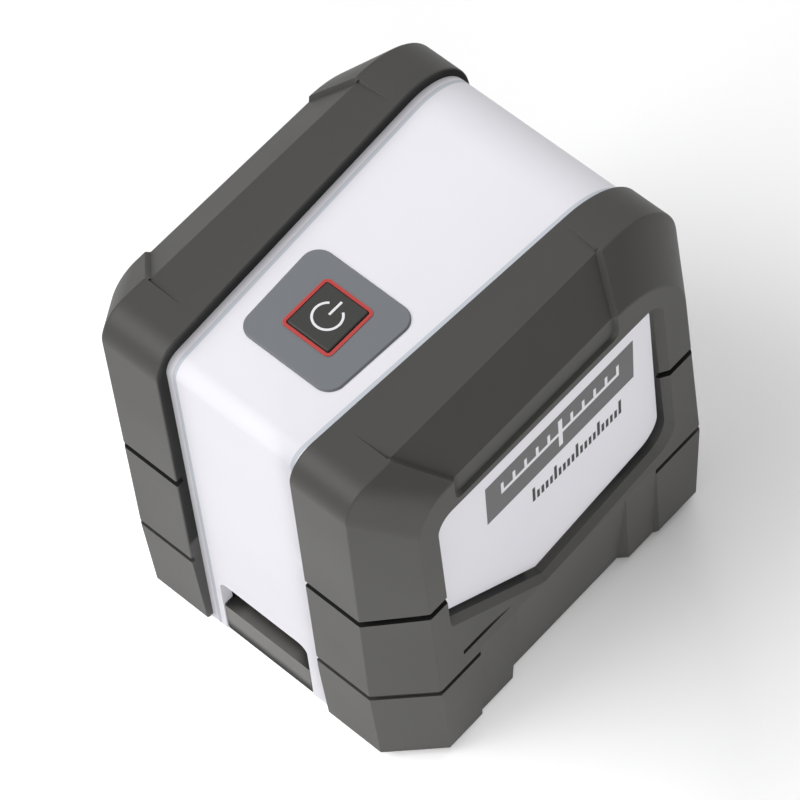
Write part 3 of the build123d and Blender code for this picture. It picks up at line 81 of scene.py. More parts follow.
def spread_value(tree, mask, low, high, start=0.3, end=0.7):
    """The value socket that goes from low to high while the mask goes from start to end."""
    spread = tree.nodes.new("ShaderNodeMapRange")
    spread.inputs["From Min"].default_value = start
    spread.inputs["From Max"].default_value = end
    spread.inputs["To Min"].default_value = low
    spread.inputs["To Max"].default_value = high
    tree.links.new(mask, spread.inputs["Value"])
    return spread.outputs["Result"]


def compute(tree, operation, *values):
    """The result of a maths node on sockets and plain numbers."""
    node = tree.nodes.new("ShaderNodeMath")
    node.operation = operation
    for socket, value in zip(node.inputs, values):
        if isinstance(value, bpy.types.NodeSocket):
            tree.links.new(value, socket)
        else:
            socket.default_value = value
    return node.outputs["Value"]


def moulded_skin_group():
    """Spark-eroded skin: the height of the grain, and a slow mask of duller and cleaner patches."""
    group, given, result = new_group(
        "moulded_skin", {"Grain Scale": 2600.0, "Patch Scale": 28.0}, ("Grain", "Patches")
    )
    place = object_place(group)
    grain = noise(group, place, detail=3.0)
    patches = noise(group, place, detail=5.0)
    group.links.new(given.outputs["Grain Scale"], grain.inputs["Scale"])
    group.links.new(given.outputs["Patch Scale"], patches.inputs["Scale"])
    group.links.new(grain.outputs["Fac"], result.inputs["Grain"])
    group.links.new(patches.outputs["Fac"], result.inputs["Patches"])
    return group


EDGE_SAMPLES = 6
PALE_EDGE_FROM = 0.995
PALE_EDGE_FULL = 0.85


def pale_edge_group():
    """A mask that is 1 on the outer edges of a piece and 0 elsewhere, for paler edges that are partly rub
    wear and partly painted highlight.
    """
    group, given, result = new_group("worn_and_highlit_edge", {"Width": 0.0006, "Amount": 1.0}, ("Mask",))
    rounded = group.nodes.new("ShaderNodeBevel")
    rounded.samples = EDGE_SAMPLES
    flat = group.nodes.new("ShaderNodeNewGeometry")
    agree = group.nodes.new("ShaderNodeVectorMath")
    agree.operation = "DOT_PRODUCT"
    group.links.new(given.outputs["Width"], rounded.inputs["Radius"])
    group.links.new(rounded.outputs["Normal"], agree.inputs[0])
    group.links.new(flat.outputs["Normal"], agree.inputs[1])
    pale_edge = spread_value(group, agree.outputs["Value"], 0.0, 1.0, PALE_EDGE_FROM, PALE_EDGE_FULL)
    group.links.new(compute(group, "MULTIPLY", pale_edge, given.outputs["Amount"]), result.inputs["Mask"])
    return group


RECESS_SAMPLES = 8
RECESS_FROM = 0.99
RECESS_FULL = 0.82
LOW_GROOVES = (0.0265, 0.0285)


def recess_shade_group():
    """A mask of painted shade that is 1 deep in grooves and inner corners, and 0 in the open.

    It is weakened to the low share under the height where the shallow lower grooves end.
    """
    group, given, result = new_group("recess_shade", {"Reach": 0.004, "Amount": 1.0, "Low Share": 1.0}, ("Mask",))
    openness = group.nodes.new("ShaderNodeAmbientOcclusion")
    openness.samples = RECESS_SAMPLES
    group.links.new(given.outputs["Reach"], openness.inputs["Distance"])
    depth = spread_value(group, openness.outputs["AO"], 0.0, 1.0, RECESS_FROM, RECESS_FULL)
    above = spread_value(group, place_axes(group)["Z"], 0.0, 1.0, *LOW_GROOVES)
    share = compute(group, "MAXIMUM", above, given.outputs["Low Share"])
    amount = compute(group, "MULTIPLY", given.outputs["Amount"], share)
    group.links.new(compute(group, "MULTIPLY", depth, amount), result.inputs["Mask"])
    return group


BUMPER_EDGE_REAR = Vector((0.0135, -0.0377))
BUMPER_EDGE_FRONT = Vector((0.0176, 0.0377))
COVERED_FROM = 0.010
STRIP_IN = 0.0016
STRIP_WIDTH = 0.0007


def bumper_edge_group():
    """Masks on the sleeve: a strip along the bumpers' edges, and all that the bumpers cover."""
    group, given, result = new_group("bumper_edge", {"Strip Width": STRIP_WIDTH}, ("Strip", "Covered"))
    axes = place_axes(group)
    edge = spread_value(
        group, axes["Y"], BUMPER_EDGE_REAR.x, BUMPER_EDGE_FRONT.x, BUMPER_EDGE_REAR.y, BUMPER_EDGE_FRONT.y
    )
    strip_middle = compute(group, "SUBTRACT", edge, STRIP_IN)
    half_strip = compute(group, "MULTIPLY", given.outputs["Strip Width"], 0.5)
    aside = compute(group, "ABSOLUTE", axes["X"])
    strip = compute(group, "COMPARE", aside, strip_middle, half_strip)
    outside = compute(group, "GREATER_THAN", aside, edge)
    above_foot = compute(group, "GREATER_THAN", axes["Z"], COVERED_FROM)
    group.links.new(strip, result.inputs["Strip"])
    group.links.new(compute(group, "MULTIPLY", outside, above_foot), result.inputs["Covered"])
    return group


MOULDED_SKIN = moulded_skin_group()
PALE_EDGE = pale_edge_group()
RECESS_SHADE = recess_shade_group()
BUMPER_EDGE = bumper_edge_group()


def new_material(name):
    """A material with its Principled shader, and the tree that they stand in."""
    material = bpy.data.materials.new(name)
    material.use_nodes = True
    return material, material.node_tree, material.node_tree.nodes["Principled BSDF"]


def place_group(tree, group, **values):
    """A group node in a material, with values for its inputs; an underscore stands for a space."""
    node = tree.nodes.new("ShaderNodeGroup")
    node.node_tree = group
    for name, value in values.items():
        node.inputs[name.replace("_", " ")].default_value = value
    return node


def mix_colours(tree, mask, low, high):
    """The colour socket that goes from one colour, or colour socket, to another with the mask."""
    mix = tree.nodes.new("ShaderNodeMix")
    mix.data_type = "RGBA"
    tree.links.new(mask, mix.inputs["Factor"])
    for socket, colour in ((mix.inputs["A"], low), (mix.inputs["B"], high)):
        if isinstance(colour, bpy.types.NodeSocket):
            tree.links.new(colour, socket)
        else:
            socket.default_value = (*colour, 1.0)
    return mix.outputs["Result"]


def add_bump(tree, shader, height, strength, distance):
    """Fine relief of the surface."""
    bump = tree.nodes.new("ShaderNodeBump")
    bump.inputs["Strength"].default_value = strength
    bump.inputs["Distance"].default_value = distance
    tree.links.new(height, bump.inputs["Height"])
    tree.links.new(bump.outputs["Normal"], shader.inputs["Normal"])


FINE_GRAIN = (2600.0, 0.00003)
GRAIN_STRENGTH = 0.35
# Amount and width of the paler edges, partly rub wear and partly painted highlight.
EDGE_PALING = (0.5, 0.0005)
# Colour of the painted shade in grooves and recesses.
GROOVE_SHADE = (0.004, 0.004, 0.004)
# Colour of the painted shade on the sleeve under the bumpers.
COVERED_SHADE = (0.02, 0.02, 0.02)


def moulded(
    name, colour, dull, pale_edge, rough,
    grain=FINE_GRAIN, edge_paling=EDGE_PALING, painted_shade=0.0, low_painted_shade=1.0, gloss=0.5, strip=None,
):
    """A moulded plastic or rubber: grain, duller patches, paler edges (partly rub wear, partly painted
    highlight) and painted shade in recesses.

    The roughness is a low and a high value, the grain a scale and a depth, the edge paling an amount
    and a width. The colour of a strip is given for the sleeve alone.
    """
    material, tree, shader = new_material(name)
    skin = place_group(tree, MOULDED_SKIN, Grain_Scale=grain[0])
    patches = spread_value(tree, skin.outputs["Patches"], 0.0, 1.0)
    edge = place_group(tree, PALE_EDGE, Amount=edge_paling[0], Width=edge_paling[1])
    surface = mix_colours(tree, patches, colour, dull)
    # Paler edges: partly rub wear and partly painted highlight.
    surface = mix_colours(tree, edge.outputs["Mask"], surface, pale_edge)
    roughness = spread_value(tree, skin.outputs["Patches"], *rough)
    shader.inputs["Specular IOR Level"].default_value = gloss
    # Painted shade: grooves and inner corners darken towards the groove shade colour.
    if painted_shade:
        recess_shade = place_group(tree, RECESS_SHADE, Amount=painted_shade, Low_Share=low_painted_shade)
        surface = mix_colours(tree, recess_shade.outputs["Mask"], surface, GROOVE_SHADE)
        roughness = compute(tree, "MAXIMUM", roughness, recess_shade.outputs["Mask"])
    if strip:
        edge_masks = place_group(tree, BUMPER_EDGE)
        surface = mix_colours(tree, edge_masks.outputs["Strip"], surface, strip)
        # Painted shade: the sleeve under the bumpers is coloured dark, so that no white shows in their
        # grooves.
        surface = mix_colours(tree, edge_masks.outputs["Covered"], surface, COVERED_SHADE)
    tree.links.new(surface, shader.inputs["Base Color"])
    tree.links.new(roughness, shader.inputs["Roughness"])
    add_bump(tree, shader, skin.outputs["Grain"], GRAIN_STRENGTH, grain[1])
    return material


def finish_nodes(material, *names):
    """Gives CAD nodes a material."""
    for name in names:
        for material_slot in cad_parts[name].material_slots:
            material_slot.material = material


WHITE = (0.80, 0.79, 0.835)
DULL_WHITE = (0.775, 0.765, 0.81)
# Paler white of the edges, partly rub wear and partly painted highlight.
PALE_EDGE_WHITE = (0.84, 0.83, 0.87)
STRIP_GREY = (0.56, 0.585, 0.64)
ABS_ROUGH = (0.62, 0.7)
ABS_GLOSS = 0.2
white_abs = moulded("white_abs", WHITE, DULL_WHITE, PALE_EDGE_WHITE, ABS_ROUGH, gloss=ABS_GLOSS)
finish_nodes(white_abs, "side_cover_right", "side_cover_left")
sleeve_abs = moulded(
    "sleeve_abs", WHITE, DULL_WHITE, PALE_EDGE_WHITE, ABS_ROUGH, gloss=ABS_GLOSS, strip=STRIP_GREY
)
finish_nodes(sleeve_abs, "main_shell")


# Side print: a grey band with a white cross of level lines, and a black scale under it, pad-printed
# on both side covers in ink that stands a few hundredths of a millimetre proud.
INK_THICK = 0.00003
INK_THIN_SHARE = 0.94
BAND_MIDDLE = Vector((0.0031, 0.0587))
BAND_LENGTH = 0.0345
BAND_HEIGHT = 0.0108
LINE_THICK = 0.0009
LINE_LENGTH = 0.8 * BAND_LENGTH
LINE_HEIGHT = 0.7 * BAND_HEIGHT
LINE_TICKS = 5
SCALE_MIDDLE = Vector((0.0067, 0.0464))
SCALE_LENGTH = 0.0205
SCALE_TICKS = 21
TICK_THICK = 0.0006
TICK_SHORT = 0.0022
TICK_LONG = 0.0040
TICKS_IN_GROUP = 5


def bar(film, middle, length, height):
    """Adds a flat rectangle to a film."""
    place = Matrix.LocRotScale(middle.to_3d(), None, (length, height, 1.0))
    bmesh.ops.create_grid(film, x_segments=1, y_segments=1, size=0.5, matrix=place)


def ticks(film, middle, length, count, heights):
    """Adds strokes in an even row that is centred on a point, with their feet on one line."""
    for number in range(count):
        height = heights[number % len(heights)]
        place = middle + Vector((length * (number / (count - 1) - 0.5), height / 2))
        bar(film, place, TICK_THICK, height)


def finished_piece(name, shape, material, body):
    """Makes an object of a finished shape, and lets it move with a body."""
    bmesh.ops.recalc_face_normals(shape, faces=shape.faces)
    mesh = bpy.data.meshes.new(name)
    shape.to_mesh(mesh)
    shape.free()
    mesh.materials.append(material)
    piece = bpy.data.objects.new(name, mesh)
    bpy.context.scene.collection.objects.link(piece)
    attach(piece, body)


def lay_film(name, film, plane, material, body):
    """Thickens a flat film and lays it on a plane of the object."""
    raised = bmesh.ops.extrude_face_region(film, geom=film.faces[:], use_keep_orig=True)["geom"]
    top = [corner for corner in raised if isinstance(corner, bmesh.types.BMVert)]
    bmesh.ops.translate(film, verts=top, vec=(0.0, 0.0, INK_THICK))
    bmesh.ops.transform(film, matrix=plane, verts=film.verts)
    finished_piece(name, film, material, body)


def band_film():
    """The grey band, where the level lines stand."""
    film = bmesh.new()
    bar(film, BAND_MIDDLE, BAND_LENGTH, BAND_HEIGHT)
    return film


def level_lines_film():
    """A plumb line, with a level line to either side of it that carries short strokes."""
    film = bmesh.new()
    bar(film, BAND_MIDDLE, LINE_THICK, LINE_HEIGHT)
    half_line = (LINE_LENGTH - LINE_THICK) / 2
    pitch = (LINE_LENGTH - TICK_THICK) / 2 / LINE_TICKS
    for aside in (-1, 1):
        bar(film, BAND_MIDDLE + Vector((aside * (half_line + LINE_THICK) / 2, 0.0)), half_line, LINE_THICK)
        row_middle = BAND_MIDDLE + Vector((aside * pitch * (LINE_TICKS + 1) / 2, LINE_THICK / 2))
        ticks(film, row_middle, pitch * (LINE_TICKS - 1), LINE_TICKS, (TICK_SHORT,))
    return film


def scale_film():
    """A plain scale, in which every fifth stroke is a long one."""
    film = bmesh.new()
    heights = (TICK_LONG, *[TICK_SHORT] * (TICKS_IN_GROUP - 1))
    ticks(film, SCALE_MIDDLE, SCALE_LENGTH, SCALE_TICKS, heights)
    return film


def ink_finish(name, colour):
    """Matt printing ink, a little thinner in places."""
    thin = tuple(INK_THIN_SHARE * share for share in colour)
    return moulded(name, colour, thin, colour, (0.45, 0.55), edge_paling=(0.0, INK_THICK))


grey_ink = ink_finish("grey_ink", (0.115, 0.113, 0.116))
white_ink = ink_finish("white_ink", (0.8, 0.79, 0.82))
black_ink = ink_finish("black_ink", (0.012, 0.012, 0.013))
side_marks = (
    ("band", band_film, grey_ink, "grey_plastic", 0),
    ("level_lines", level_lines_film, white_ink, "white_plastic", 1),
    ("scale", scale_film, black_ink, "black_plastic", 0),
)
for side, cover in ((1, "side_cover_right"), (-1, "side_cover_left")):
    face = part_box(cover)[1].x if side > 0 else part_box(cover)[0].x
    for mark_name, make_film, pigment, finish, layer in side_marks:
        level = face + side * layer * INK_THICK
        cover_plane = Matrix(((0, 0, side, level), (1, 0, 0, 0), (0, 1, 0, 0), (0, 0, 0, 1)))
        lay_film(f"{mark_name}_{cover}", make_film(), cover_plane, pigment, "case")


# Bumpers: two halves of armour in dark grey thermoplastic rubber, moulded with grooves, corner
# pads and a stepped foot, and stretched over the sides of the sleeve, which they clip round. Painted
# shade darkens the grooves and the walls of the side window, and less so the shallow lower grooves.
bumper_rubber = moulded(
    "bumper_rubber", (0.0435, 0.0422, 0.0385), (0.0475, 0.046, 0.042), (0.08, 0.078, 0.073), (0.5, 0.58),
    grain=(3200.0, 0.00003), edge_paling=(0.5, 0.0006), painted_shade=0.95, low_painted_shade=0.25,
)
finish_nodes(bumper_rubber, "bumper_right", "bumper_left")


# Button: a soft black cap in a red lamp frame, set into a grey surround that is glued into a
# shallow seat in the sleeve's top. The cap works a switch on a small board under the roof.
surround_plastic = moulded(
    "surround_plastic", (0.162, 0.172, 0.188), (0.155, 0.164, 0.179), (0.2, 0.21, 0.23), (0.45, 0.53),
    grain=(2800.0, 0.00002), edge_paling=(0.4, 0.0004),
)
finish_nodes(surround_plastic, "button_plate")

lamp_frame_red = moulded(
    "lamp_frame_red", (0.5, 0.042, 0.037), (0.44, 0.034, 0.03), (0.6, 0.09, 0.08), (0.35, 0.45),
    grain=(2800.0, 0.00001), edge_paling=(0.4, 0.0003),
)
finish_nodes(lamp_frame_red, "indicator_ring")

button_rubber = moulded(
    "button_rubber", (0.026, 0.026, 0.0245), (0.031, 0.031, 0.029), (0.06, 0.06, 0.057), (0.5, 0.6),
    grain=(3000.0, 0.00003), edge_paling=(0.4, 0.0004),
)
finish_nodes(button_rubber, "button_cap", "switch_plunger", "tact_switch")

SIGN_RADIUS = 0.0024
SIGN_THICK = 0.0004
SIGN_GAP = math.radians(70)
SIGN_STEPS = 32
SIGN_BAR_MIDDLE = 0.75 * SIGN_RADIUS
SIGN_BAR_LENGTH = 1.2 * SIGN_RADIUS


def standby_film():
    """The common standby sign: an open ring with a bar in its gap, which points to +Y."""
    film = bmesh.new()
    start = math.pi / 2 + SIGN_GAP / 2
    radii = (SIGN_RADIUS - SIGN_THICK / 2, SIGN_RADIUS + SIGN_THICK / 2)
    ends = [film.verts.new((radius * math.cos(start), radius * math.sin(start), 0.0)) for radius in radii]
    spoke = film.edges.new(ends)
    bmesh.ops.spin(
        film, geom=[*ends, spoke], cent=(0.0, 0.0, 0.0), axis=(0.0, 0.0, 1.0),
        angle=math.tau - SIGN_GAP, steps=SIGN_STEPS,
    )
    bar(film, Vector((0.0, SIGN_BAR_MIDDLE)), SIGN_THICK, SIGN_BAR_LENGTH)
    return film


cap_low, cap_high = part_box("button_cap")
cap_middle = (cap_low + cap_high) / 2
cap_plane = Matrix.Translation((cap_middle.x, cap_middle.y, cap_high.z))
lay_film("standby_sign", standby_film(), cap_plane, white_ink, "button")


# Base: the black moulding that the tool stands on, with the battery tubes and the tripod boss.
# The grey battery door hangs in it on a steel pin, and its lip fills the finger notch.
# Painted shade darkens the recesses of the base and, more strongly, of the door.
base_plastic = moulded(
    "base_plastic", (0.05, 0.05, 0.048), (0.058, 0.058, 0.055), (0.09, 0.09, 0.087), (0.5, 0.6),
    grain=(2400.0, 0.00004), painted_shade=0.6,
)
finish_nodes(base_plastic, "base")

door_plastic = moulded(
    "door_plastic", (0.135, 0.131, 0.123), (0.122, 0.118, 0.111), (0.2, 0.195, 0.185), (0.48, 0.58),
    grain=(2400.0, 0.00004), edge_paling=(0.5, 0.0006), painted_shade=0.9,
)
finish_nodes(door_plastic, "battery_door")


# Fixings, contacts and bearings: plated steel screws, pins, springs and races. The case screws come
# up through the base into the sleeve's bosses; their cross slots are painted shade, dark film on the heads.
LATHE_STRETCH = (0.06, 0.06, 1.0)


def fine_wear_group():
    """Machined metal: fine lines round the Z axis, as turning leaves them, and a mask of tarnish."""
    group, given, result = new_group(
        "fine_wear", {"Line Scale": 900.0, "Tarnish Scale": 60.0}, ("Lines", "Tarnish")
    )
    place = object_place(group)
    stretch = group.nodes.new("ShaderNodeMapping")
    stretch.inputs["Scale"].default_value = LATHE_STRETCH
    group.links.new(place, stretch.inputs["Vector"])
    lines = noise(group, stretch.outputs["Vector"], detail=2.0)
    tarnish = noise(group, place, detail=4.0)
    group.links.new(given.outputs["Line Scale"], lines.inputs["Scale"])
    group.links.new(given.outputs["Tarnish Scale"], tarnish.inputs["Scale"])
    group.links.new(lines.outputs["Fac"], result.inputs["Lines"])
    group.links.new(tarnish.outputs["Fac"], result.inputs["Tarnish"])
    return group


FINE_WEAR = fine_wear_group()
LINE_STRENGTH = 0.2
LINE_DEPTH = 0.00001


def machined(name, colour, tarnished, rough, line_scale):
    """A machined or plated metal."""
    material, tree, shader = new_material(name)
    wear = place_group(tree, FINE_WEAR, Line_Scale=line_scale)
    tarnish = spread_value(tree, wear.outputs["Tarnish"], 0.0, 1.0)
    tree.links.new(mix_colours(tree, tarnish, colour, tarnished), shader.inputs["Base Color"])
    tree.links.new(spread_value(tree, wear.outputs["Lines"], *rough), shader.inputs["Roughness"])
    shader.inputs["Metallic"].default_value = 1.0
    add_bump(tree, shader, wear.outputs["Lines"], LINE_STRENGTH, LINE_DEPTH)
    return material


STEEL = (0.58, 0.58, 0.6)
plated_steel = machined("plated_steel", STEEL, (0.47, 0.47, 0.48), (0.25, 0.42), line_scale=1200.0)
finish_nodes(
    plated_steel, "case_screws", "hinge_pin", "door_contact", "upper_contact_left", "upper_contact_right",
    "switch_board_screws", "main_board_screws", "frame_screws", "set_screws", "disc_screw",
    "magnet_plate", "pitch_bearings", "roll_bearings", "pitch_pins", "roll_pins",
)

SCREW_HEAD = 0.0052
DRIVE_LENGTH = 0.0028
DRIVE_THICK = 0.0006


def drive_film(places):
    """Painted shade for the cross slots of a set of screws: dark crosses laid on the heads."""
    film = bmesh.new()
    arm = (DRIVE_LENGTH - DRIVE_THICK) / 2
    for place in places:
        bar(film, place, DRIVE_LENGTH, DRIVE_THICK)
        for aside in (-1, 1):
            bar(film, place + Vector((0.0, aside * (arm + DRIVE_THICK) / 2)), DRIVE_THICK, arm)
    return film


drive_shadow = machined(
    "drive_shadow", (0.03, 0.03, 0.032), (0.04, 0.04, 0.042), (0.5, 0.6), line_scale=1200.0
)
screws_low, screws_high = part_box("case_screws")
screw_ys = (screws_low.y + SCREW_HEAD / 2, screws_high.y - SCREW_HEAD / 2)
screw_x = screws_high.x - SCREW_HEAD / 2
screw_places = [Vector((aside * screw_x, along)) for aside in (-1, 1) for along in screw_ys]
head_plane = Matrix(((1, 0, 0, 0), (0, 1, 0, 0), (0, 0, -1, screws_low.z), (0, 0, 0, 1)))
lay_film("case_screw_drives", drive_film(screw_places), head_plane, drive_shadow, "case")


# Brass pieces: the tripod insert, pressed into the base, with a quarter-inch thread of 20 turns to
# the inch, and the turned brass of the balance screws, the tilt contact and the laser modules.
turned_brass = machined(
    "turned_brass", (0.72, 0.54, 0.25), (0.58, 0.42, 0.19), (0.22, 0.4), line_scale=1500.0
)
finish_nodes(
    turned_brass, "tripod_insert", "balance_screws", "tilt_contact", "laser_barrel_level",
    "laser_barrel_plumb", "laser_diode_level", "laser_diode_plumb",
)

THREAD_RADIUS = 0.003175
THREAD_PITCH = 0.00127
THREAD_HALF = 0.45 * THREAD_PITCH
THREAD_DEPTH = 0.0006
THREAD_ROOT = 0.0001
THREAD_TURNS = 5
THREAD_START = 0.75 * THREAD_PITCH
STEPS_IN_TURN = 32


def thread_ridge(middle, start):
    """The ridge of the tripod thread: a triangle that climbs round the bore of the insert."""
    ridge = bmesh.new()
    root = THREAD_RADIUS + THREAD_ROOT
    corners = ((root, -THREAD_HALF), (THREAD_RADIUS - THREAD_DEPTH, 0.0), (root, THREAD_HALF))
    profile = [ridge.verts.new((radius, 0.0, rise)) for radius, rise in corners]
    sides = [ridge.edges.new((profile[number - 1], profile[number])) for number in range(len(profile))]
    bmesh.ops.spin(
        ridge, geom=[*profile, *sides], cent=(0.0, 0.0, 0.0), axis=(0.0, 0.0, 1.0),
        angle=math.tau * THREAD_TURNS, steps=STEPS_IN_TURN * THREAD_TURNS,
        dvec=(0.0, 0.0, THREAD_PITCH / STEPS_IN_TURN),
    )
    bmesh.ops.holes_fill(ridge, edges=[edge for edge in ridge.edges if edge.is_boundary], sides=len(profile))
    bmesh.ops.translate(ridge, verts=ridge.verts, vec=(middle.x, middle.y, start))
    return ridge


insert_low, insert_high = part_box("tripod_insert")
tripod_ridge = thread_ridge((insert_low + insert_high) / 2, insert_low.z + THREAD_START)
finished_piece("tripod_thread", tripod_ridge, turned_brass, "case")


# Cells and boards: two dry cells that stand side by side in the base, each in a plain grey wrap
# with one pale band, and the two circuit boards under green lacquer.
CELL_WRAP_MIDDLE = 0.0312
CELL_WRAP_HALF = 0.0240
CELL_BAND_MIDDLE = 0.0460
CELL_BAND_HALF = 0.0055
CELL_WRAP_GREY = (0.06, 0.07, 0.085)
CELL_BAND_PALE = (0.55, 0.55, 0.53)


def cell_finish():
    """A dry cell's wrap and band, and bare steel at its ends."""
    material, tree, shader = new_material("cell_can")
    wear = place_group(tree, FINE_WEAR)
    height = place_axes(tree)["Z"]
    wrapped = compute(tree, "COMPARE", height, CELL_WRAP_MIDDLE, CELL_WRAP_HALF)
    banded = compute(tree, "COMPARE", height, CELL_BAND_MIDDLE, CELL_BAND_HALF)
    wrap = mix_colours(tree, banded, CELL_WRAP_GREY, CELL_BAND_PALE)
    tree.links.new(mix_colours(tree, wrapped, STEEL, wrap), shader.inputs["Base Color"])
    tree.links.new(compute(tree, "SUBTRACT", 1.0, wrapped), shader.inputs["Metallic"])
    tree.links.new(spread_value(tree, wear.outputs["Lines"], 0.25, 0.35), shader.inputs["Roughness"])
    return material


finish_nodes(cell_finish(), "cell_left", "cell_right")

board_lacquer = moulded(
    "board_lacquer", (0.02, 0.16, 0.06), (0.016, 0.13, 0.048), (0.2, 0.3, 0.16), (0.25, 0.36),
    grain=(700.0, 0.00001), edge_paling=(0.6, 0.0003),
)
finish_nodes(board_lacquer, "main_board", "switch_board")


# Front window: a black frame clipped into the sleeve's front wall, with a rubber gasket and a
# pane of float glass that the two fans of light leave through. The lenses are of the same glass.
GLASS_IOR = 1.5


def clear_glass(name, tint):
    """Ground and polished glass with a trace of dust."""
    material, tree, shader = new_material(name)
    skin = place_group(tree, MOULDED_SKIN, Patch_Scale=80.0)
    shader.inputs["Base Color"].default_value = (*tint, 1.0)
    tree.links.new(spread_value(tree, skin.outputs["Patches"], 0.01, 0.05), shader.inputs["Roughness"])
    shader.inputs["IOR"].default_value = GLASS_IOR
    shader.inputs["Transmission Weight"].default_value = 1.0
    return material


finish_nodes(base_plastic, "window_bezel")
finish_nodes(bumper_rubber, "window_gasket")
pane_glass = clear_glass("pane_glass", (0.95, 0.98, 0.97))
finish_nodes(
    pane_glass, "window_glass", "collimator_level", "collimator_plumb", "rod_lens_level", "rod_lens_plumb"
)


# Pendulum: a milled aluminium block on two crossed pairs of ball bearings, with two laser
# modules and a copper disc that swings over magnets, whose eddy currents still it.
milled_aluminium = machined(
    "milled_aluminium", (0.68, 0.68, 0.69), (0.58, 0.58, 0.6), (0.28, 0.42), line_scale=700.0
)
finish_nodes(milled_aluminium, "gimbal_frame", "gimbal_ring", "pendulum_body")

damper_copper = machined(
    "damper_copper", (0.75, 0.4, 0.26), (0.55, 0.28, 0.18), (0.25, 0.4), line_scale=900.0
)
finish_nodes(damper_copper, "damper_disc")

magnet_nickel = machined(
    "magnet_nickel", (0.72, 0.7, 0.67), (0.64, 0.62, 0.6), (0.12, 0.22), line_scale=900.0
)
finish_nodes(magnet_nickel, "damper_magnets")

black_anodised = moulded(
    "black_anodised", (0.03, 0.03, 0.033), (0.036, 0.036, 0.04), (0.1, 0.1, 0.11), (0.35, 0.45),
    grain=(2000.0, 0.00001), edge_paling=(0.5, 0.0003),
)
finish_nodes(black_anodised, "lens_cap_level", "lens_cap_plumb")


# Studio: a white sweep that glows a little, more so far away and in a patch behind the tool, a soft
# lamp high behind the tool on the left, weaker ones over it, on its right and in front, and a dim sky.
FLOOR_SIZE = 6.0
FLOOR_WHITE = (0.9, 0.9, 0.9, 1.0)
FLOOR_ROUGH = 0.9
NEAR_GLOW = 0.08
FAR_GLOW = 0.75
FAR_REACH = (0.35, 1.4)
PATCH_GLOW = 0.6
PATCH_MIDDLE = (-0.01, -0.075, 0.0)
PATCH_REACH = (0.03, 0.11)


def seen_directly(tree):
    """The socket that is 1 for rays that show the sweep: camera, mirror and glass rays."""
    rays = tree.nodes.new("ShaderNodeLightPath").outputs
    through_pieces = compute(tree, "MAXIMUM", rays["Is Glossy Ray"], rays["Is Transmission Ray"])
    return compute(tree, "MAXIMUM", rays["Is Camera Ray"], through_pieces)


def glow_round(tree, middle, low, high, start, end):
    """The glow of the sweep, as it changes with the distance from a point."""
    away = tree.nodes.new("ShaderNodeVectorMath")
    away.operation = "DISTANCE"
    away.inputs[1].default_value = middle
    tree.links.new(object_place(tree), away.inputs[0])
    return spread_value(tree, away.outputs["Value"], low, high, start, end)


def white_sweep():
    """Matt white paper, with its glow."""
    material, tree, shader = new_material("white_sweep")
    shader.inputs["Base Color"].default_value = FLOOR_WHITE
    shader.inputs["Roughness"].default_value = FLOOR_ROUGH
    shader.inputs["Specular IOR Level"].default_value = 0.0
    shader.inputs["Emission Color"].default_value = (1.0, 1.0, 1.0, 1.0)
    far_glow = glow_round(tree, (0.0, 0.0, 0.0), 0.0, FAR_GLOW, *FAR_REACH)
    patch_glow = glow_round(tree, PATCH_MIDDLE, PATCH_GLOW, NEAR_GLOW, *PATCH_REACH)
    glow = compute(tree, "MAXIMUM", far_glow, patch_glow)
    shown = compute(tree, "MULTIPLY", glow, seen_directly(tree))
    tree.links.new(shown, shader.inputs["Emission Strength"])
    return material


sheet = bmesh.new()
bmesh.ops.create_grid(sheet, x_segments=1, y_segments=1, size=FLOOR_SIZE / 2)
floor_mesh = bpy.data.meshes.new("floor")
sheet.to_mesh(floor_mesh)
sheet.free()
floor_mesh.materials.append(white_sweep())
floor = bpy.data.objects.new("floor", floor_mesh)
bpy.context.scene.collection.objects.link(floor)

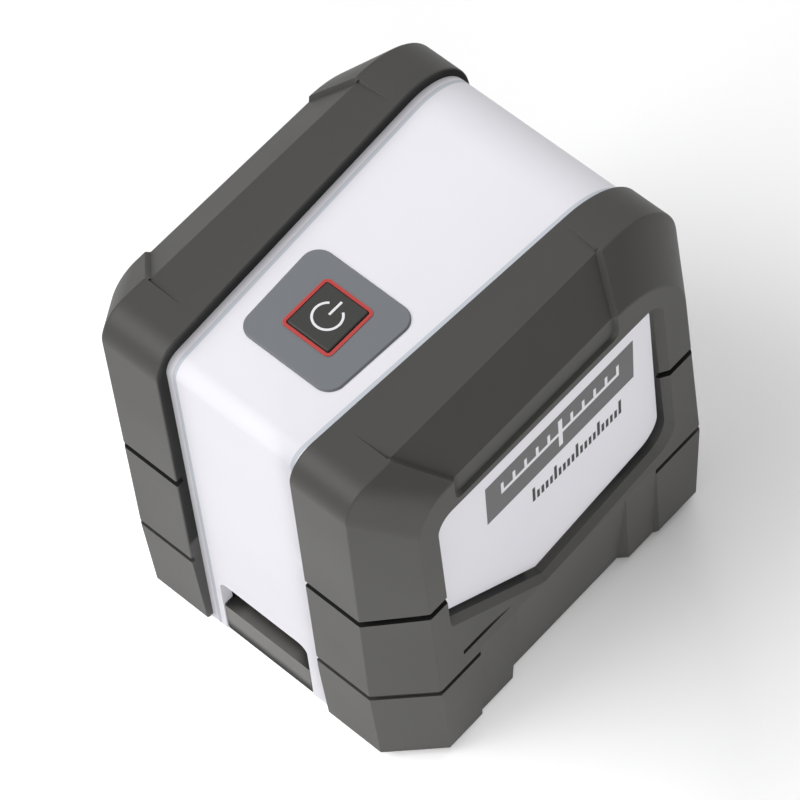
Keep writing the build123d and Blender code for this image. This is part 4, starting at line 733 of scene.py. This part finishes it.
SKY_LIGHT = 0.23
world = bpy.data.worlds.new("studio")
world.use_nodes = True
bpy.context.scene.world = world
sky = world.node_tree.nodes["Background"]
sky.inputs["Color"].default_value = (1.0, 1.0, 1.0, 1.0)
sky.inputs["Strength"].default_value = SKY_LIGHT

TOOL_MIDDLE = Vector((0.0, 0.0, 0.04))


def soft_lamp(name, azimuth, elevation, distance, size, power):
    """A square soft box that faces the tool from a bearing in degrees, 0 being behind the tool."""
    turn = math.radians(azimuth)
    rise = math.radians(elevation)
    away = Vector((math.sin(turn) * math.cos(rise), -math.cos(turn) * math.cos(rise), math.sin(rise)))
    lamp = bpy.data.lights.new(name, "AREA")
    lamp.shape = "SQUARE"
    lamp.size = size
    lamp.energy = power
    holder = bpy.data.objects.new(name, lamp)
    holder.location = TOOL_MIDDLE + away * distance
    holder.rotation_mode = "QUATERNION"
    holder.rotation_quaternion = (-away).to_track_quat("-Z", "Y")
    bpy.context.scene.collection.objects.link(holder)


soft_lamp("key_lamp", azimuth=-35, elevation=48, distance=1.2, size=0.9, power=11.1)
soft_lamp("top_lamp", azimuth=0, elevation=88, distance=1.2, size=0.9, power=2.8)
soft_lamp("right_lamp", azimuth=62, elevation=7, distance=1.1, size=0.3, power=4.0)
soft_lamp("front_lamp", azimuth=195, elevation=42, distance=1.3, size=1.4, power=5.4)


# Camera: a long lens from above, behind and to the right of the tool, rolled a little, so that
# the tool stands on its corner in the picture. The lens and its sensor are in millimetres.
LENS_LENGTH = 202.447
SENSOR_WIDTH = 36.0
CAMERA_PLACE = (0.26905, -0.25107, 0.65473)
CAMERA_RIGHT = Vector((0.74498, 0.66469, -0.05577))
CAMERA_UP = Vector((-0.55097, 0.66032, 0.5103))
CAMERA_BACK = CAMERA_RIGHT.cross(CAMERA_UP)
lens = bpy.data.cameras.new("camera")
lens.sensor_width = SENSOR_WIDTH
lens.lens = LENS_LENGTH
camera = bpy.data.objects.new("camera", lens)
camera_turn = Matrix((CAMERA_RIGHT, CAMERA_UP, CAMERA_BACK)).transposed().to_4x4()
camera.matrix_world = Matrix.Translation(CAMERA_PLACE) @ camera_turn
bpy.context.scene.collection.objects.link(camera)
bpy.context.scene.camera = camera
bpy.context.scene.view_settings.view_transform = "Standard"
